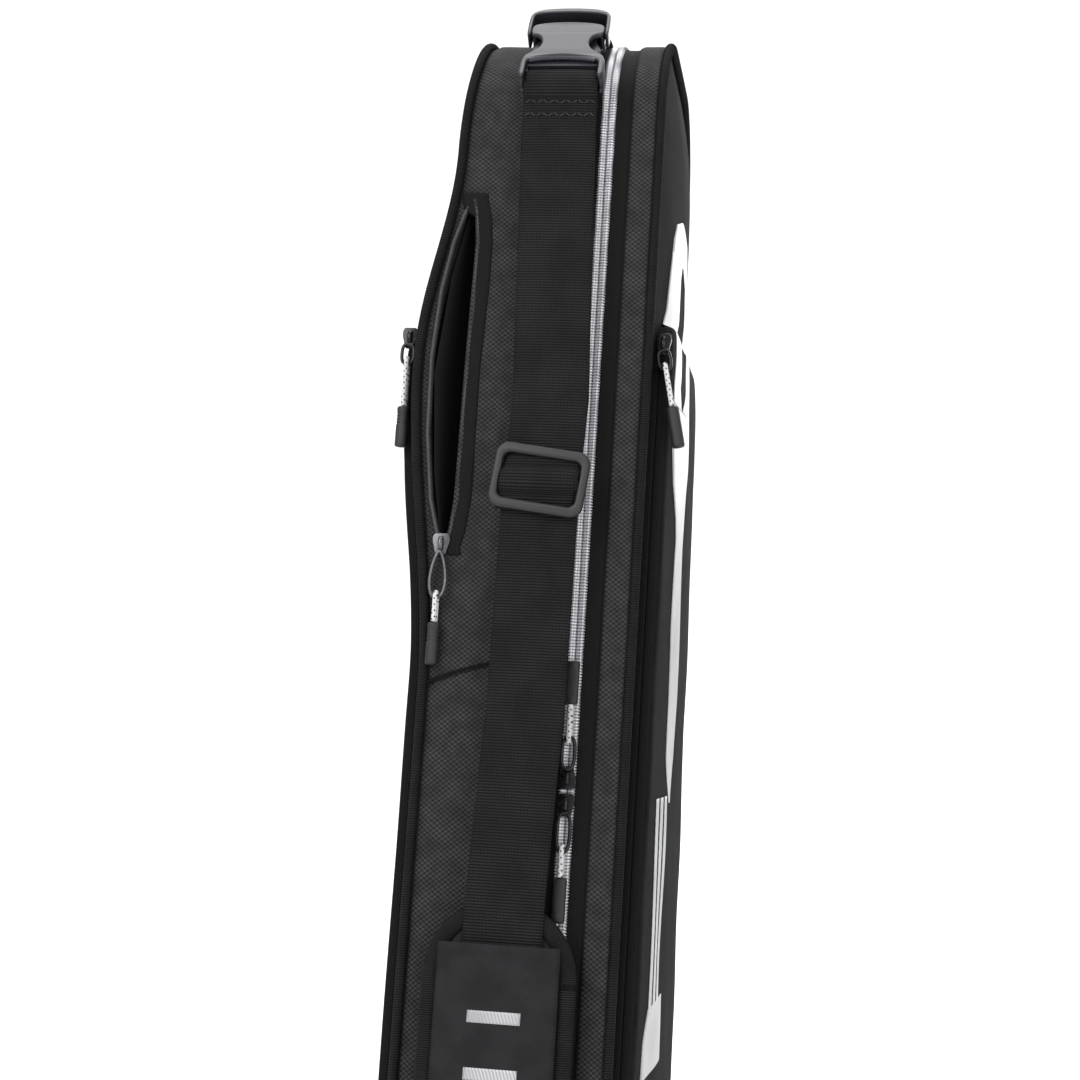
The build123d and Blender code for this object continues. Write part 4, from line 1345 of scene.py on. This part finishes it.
# ---------------------------------------------------------------- shoulder pad
def pad_surface(x, z, out):
    """A point over the zip side: it follows the straight side, then the widest round, then the lower side."""
    s = np.interp(z, P_Z, P_S)
    y0, z0 = np.interp(s, ZIP_S, ZIP_P[:, 0]), np.interp(s, ZIP_S, ZIP_P[:, 1])
    ny, nz = np.interp(s, ZIP_S, ZIP_N[:, 0]), np.interp(s, ZIP_S, ZIP_N[:, 1])
    return np.stack(np.broadcast_arrays(x, y0 + ny * out, z0 + nz * out), -1)


side_rows = np.where((P[:, 0] < 0) & (P[:, 1] > 20) & (P[:, 1] < 700))[0]
ZIP_P, ZIP_N, ZIP_S = P[side_rows], N[side_rows], S[side_rows]
P_Z, P_S = ZIP_P[:, 1], ZIP_S


def stadium(margin, count):
    """Closed run of (x, z) round the pad, drawn in by margin."""
    half = PAD_W / 2 - margin
    low, high = PAD_BOTTOM + PAD_W / 2, PAD_TOP - PAD_W / 2
    points = []
    for a in np.linspace(0, math.pi, count):
        points.append((PAD_X + half * math.cos(a), high + half * math.sin(a)))
    points += [(PAD_X - half, z) for z in np.linspace(high, low, 60)[1:-1]]
    for a in np.linspace(math.pi, 2 * math.pi, count):
        points.append((PAD_X + half * math.cos(a), low + half * math.sin(a)))
    points += [(PAD_X + half, z) for z in np.linspace(low, high, 60)[1:-1]]
    return np.array(points)


def build_pad():
    outer = stadium(0, 40)
    spine = np.stack([np.full(len(outer), PAD_X), np.clip(outer[:, 1], PAD_BOTTOM + 38, PAD_TOP - 38)], 1)

    def rings(margins):
        half = PAD_W / 2
        return [outer * (1 - m / half) + spine * (m / half) for m in margins]

    def skin_of(name, margins, outs, uv_across=False):
        loops = rings(margins)
        points = np.array([pad_surface(l[:, 0], l[:, 1], np.full(len(l), o)) for l, o in zip(loops, outs)])
        length = np.concatenate([[0], np.cumsum(np.linalg.norm(np.diff(outer, axis=0), axis=1))])
        if uv_across:
            uvs = np.stack([np.broadcast_to(length[None, :], points.shape[:2]),
                            np.broadcast_to(np.array(margins)[:, None], points.shape[:2])], 2)
        else:
            uvs = np.stack([points[..., 0], points[..., 2]], 2)
        return grid(name, points, uvs, wrap_cols=True)

    back = skin_of("pad_back", [2.0, 6.0, 10, 16, 24, 36.4], [9.4, 8.8, 8.6, 8.6, 8.6, 8.6])
    front = skin_of("pad_front", [2.0, 5.0, 7.2, 9.0, 12, 16, 20, 26, 32, 36.4],
                    [14.6, 14.7, 14.5, 15.0, 15.9, 16.2, 16.4, 16.4, 16.4, 16.4])
    bound = skin_of("pad_edge", [8.2, 8.0, 7.2, 5.5, 3.4, 1.4, 0.2, 0.0, 0.3, 1.6, 3.6, 6.0, 7.6, 8.0],
                    [14.4, 15.3, 15.9, 16.2, 16.2, 15.8, 14.6, 12.2, 10.0, 8.9, 8.4, 8.3, 8.5, 9.0], True)
    cover = join("pad_body", [dress_plain(back, LINING), dress_plain(front, PAD_CLOTH)])
    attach(cover, "deep_half")
    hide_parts("pad_foam", "pad_cover")
    dress(bound, BINDING_CLOTH, "deep_half", "piping", "pad_binding")


build_pad()


def build_sleeve():
    """The sewn-on panel over the pad that the webbing runs under, with a folded upper hem."""
    z = np.concatenate([np.arange(92, SLEEVE_TOP - 6, 3.0), np.linspace(SLEEVE_TOP - 6, SLEEVE_TOP, 5)])
    u = np.linspace(-1, 1, 25)
    hem = 0.9 * smooth((z - (SLEEVE_TOP - 4.5)) / 1.2)
    edge = 1 - np.abs(u) ** 8
    out = 17.4 + 2.4 * edge[None, :] + hem[:, None] + 0.3 * np.sin(z / 17.0)[:, None] * edge[None, :]
    x = PAD_X + u[None, :] * SLEEVE_W / 2 + 0 * z[:, None]
    points = pad_surface(x, np.broadcast_to(z[:, None], x.shape), out)
    obj = grid("pad_panel", points, np.stack([x, np.broadcast_to(z[:, None], x.shape)], 2), flip=True)
    thicken(obj, 1.1)
    dress(obj, PAD_CLOTH, "deep_half", "shell_fabric", "pad_sleeve")


build_sleeve()


def pad_print():
    """Plain light bars, with no lettering, where the pad has its mark."""
    pieces = []
    for z0, z1, x0, x1 in ((258.5, 264.0, -12.5, 12.5), (233.0, 238.5, -12.5, 12.5)):
        z = np.linspace(z0, z1, 6)
        x = np.linspace(x0, x1, 12)
        xx, zz = np.meshgrid(x, z)
        points = pad_surface(PAD_X + xx, zz, np.full(xx.shape, 21.15) + 0.3 * np.sin(zz / 17.0))
        piece = grid("bar", points, np.stack([xx, zz], 2), flip=True)
        thicken(piece, 0.25, 1.0)
        pieces.append(dress_plain(piece, FILM))
    obj = join("pad_bars", pieces)
    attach(obj, "deep_half")


pad_print()

# ---------------------------------------------------------------- reflective sweep and stripes
graphic("front_sweep", [
    [(671, -24, -18), (665, -45, 8), (655, -54, 16), (648, -56, 17)],
    [(648, -56, -17), (640, -58, -22), (615, -64, -26), (600, -76, -42), (574, -86, -64), (562, -87, -60)],
    [(648, -12, 17), (640, 0, 18), (620, 4, 16), (600, -8, 8), (575, -34, -4), (562, -58, -10)],
    [(562, -87, -10), (539, -86, -21), (522, -80, -27), (505, -66, -28), (495, -62, -29), (449, -69, -30),
     (413, -66, -28), (383, -66, -31), (372, -58, -36), (360, -47, -42)]])
graphic("front_stripes", [[(364, left, left + 9), (262, left - 1, left + 8)] for left in (-93, -79, -65)]
        + [[(262, -95, -41), (249, -108, -41), (229, -112, -43)]])


# ---------------------------------------------------------------- base guards
def guard(name, x0, x1, body, node):
    """A moulded skid under the base, with ribs along it and rounded ends."""
    y = np.linspace(-58, 58, 60)
    xs = np.linspace(x0, x1, 61)
    yy, xx = np.meshgrid(y, xs, indexing="ij")
    end = smooth((58 - np.abs(yy)) / 4.0)
    side = smooth(np.minimum(xx - x0, x1 - xx) / 2.0)
    rib = 0.35 * (0.5 + 0.5 * np.cos((xx - x0) / 4.0 * 2 * np.pi / 1.6))
    z = FOOT - 0.05 - (FOOT - 0.4) * end * side - rib * end * side
    z = np.maximum(z, 0.0)
    obj = grid(name, np.stack([xx, yy, z], 2), np.stack([xx, yy], 2))
    thicken(obj, 1.2, 1.0)
    dress(obj, GUARD, body, "base_guard", node)


guard("deep_skid", REAR_X + 3.5, PARTING_X - 11.8, "deep_half", "deep_base_guard")
guard("lid_skid", PARTING_X + 11.8, FRONT_X - 3.5, "lid", "lid_base_guard")


# ---------------------------------------------------------------- hinge fold along the spine
def hinge_fold():
    """The fabric that both halves hang on, sewn along the spine."""
    rows = np.where(ON_SPINE)[0]
    p, n, s = refine(rows, 3.0)
    xs = np.linspace(PARTING_X - 7.5, PARTING_X + 7.5, 13)
    out = 0.5 + 0.5 * np.cos((xs - PARTING_X) / 7.5 * np.pi / 2)
    points = np.stack(np.broadcast_arrays(xs[None, :], p[:, 0][:, None] + n[:, 0][:, None] * out[None, :],
                                          p[:, 1][:, None] + n[:, 1][:, None] * out[None, :]), 2)
    obj = grid("spine_fold", points, np.stack(np.broadcast_arrays(s[:, None], xs[None, :]), 2))
    dress_plain(obj, TAPE)
    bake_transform(obj)


hinge_fold()


# ---------------------------------------------------------------- floor and light
def floor():
    mesh = bpy.data.meshes.new("floor")
    size, depth, rise = 3.2, 2.4, 2.6
    curve = [(-size, 0.0), (depth - 0.9, 0.0)]
    curve += [(depth - 0.9 + 0.9 * math.sin(a), 0.9 - 0.9 * math.cos(a))
              for a in np.linspace(0.1, math.pi / 2, 12)]
    curve.append((depth, rise))
    points = [(x, y, z) for y, z in curve for x in (-size, size)]
    faces = [(2 * i, 2 * i + 1, 2 * i + 3, 2 * i + 2) for i in range(len(curve) - 1)]
    mesh.from_pydata(points, [], faces)
    mesh.shade_smooth()
    obj = link("floor", mesh)
    material = bpy.data.materials.new("pale_floor")
    material.use_nodes = True
    material.node_tree.nodes["Principled BSDF"].inputs["Base Color"].default_value = (0.86, 0.86, 0.86, 1)
    material.node_tree.nodes["Principled BSDF"].inputs["Roughness"].default_value = 0.85
    mesh.materials.append(material)


floor()


def light(name, place, target, size, power):
    data = bpy.data.lights.new(name, "AREA")
    data.shape = "RECTANGLE"
    data.size, data.size_y = size
    data.energy = power
    obj = bpy.data.objects.new(name, data)
    obj.location = place
    obj.rotation_euler = (Vector(target) - Vector(place)).to_track_quat("-Z", "Y").to_euler()
    bpy.context.scene.collection.objects.link(obj)


light("key", (-1.1, -1.9, 1.7), (0, 0, 0.45), (1.2, 1.6), 42)
light("fill", (1.3, -2.1, 1.1), (0, 0, 0.45), (1.2, 1.6), 20)
light("top", (0.0, 0.2, 2.6), (0, 0, 0.4), (1.8, 1.8), 40)
light("back", (0.6, 1.9, 1.4), (0, 0, 0.5), (1.5, 1.5), 25)

world = bpy.data.worlds.new("studio")
world.use_nodes = True
world.node_tree.nodes["Background"].inputs["Color"].default_value = (1, 1, 1, 1)
world.node_tree.nodes["Background"].inputs["Strength"].default_value = 0.75
bpy.context.scene.world = world
bpy.context.scene.view_settings.view_transform = "Standard"
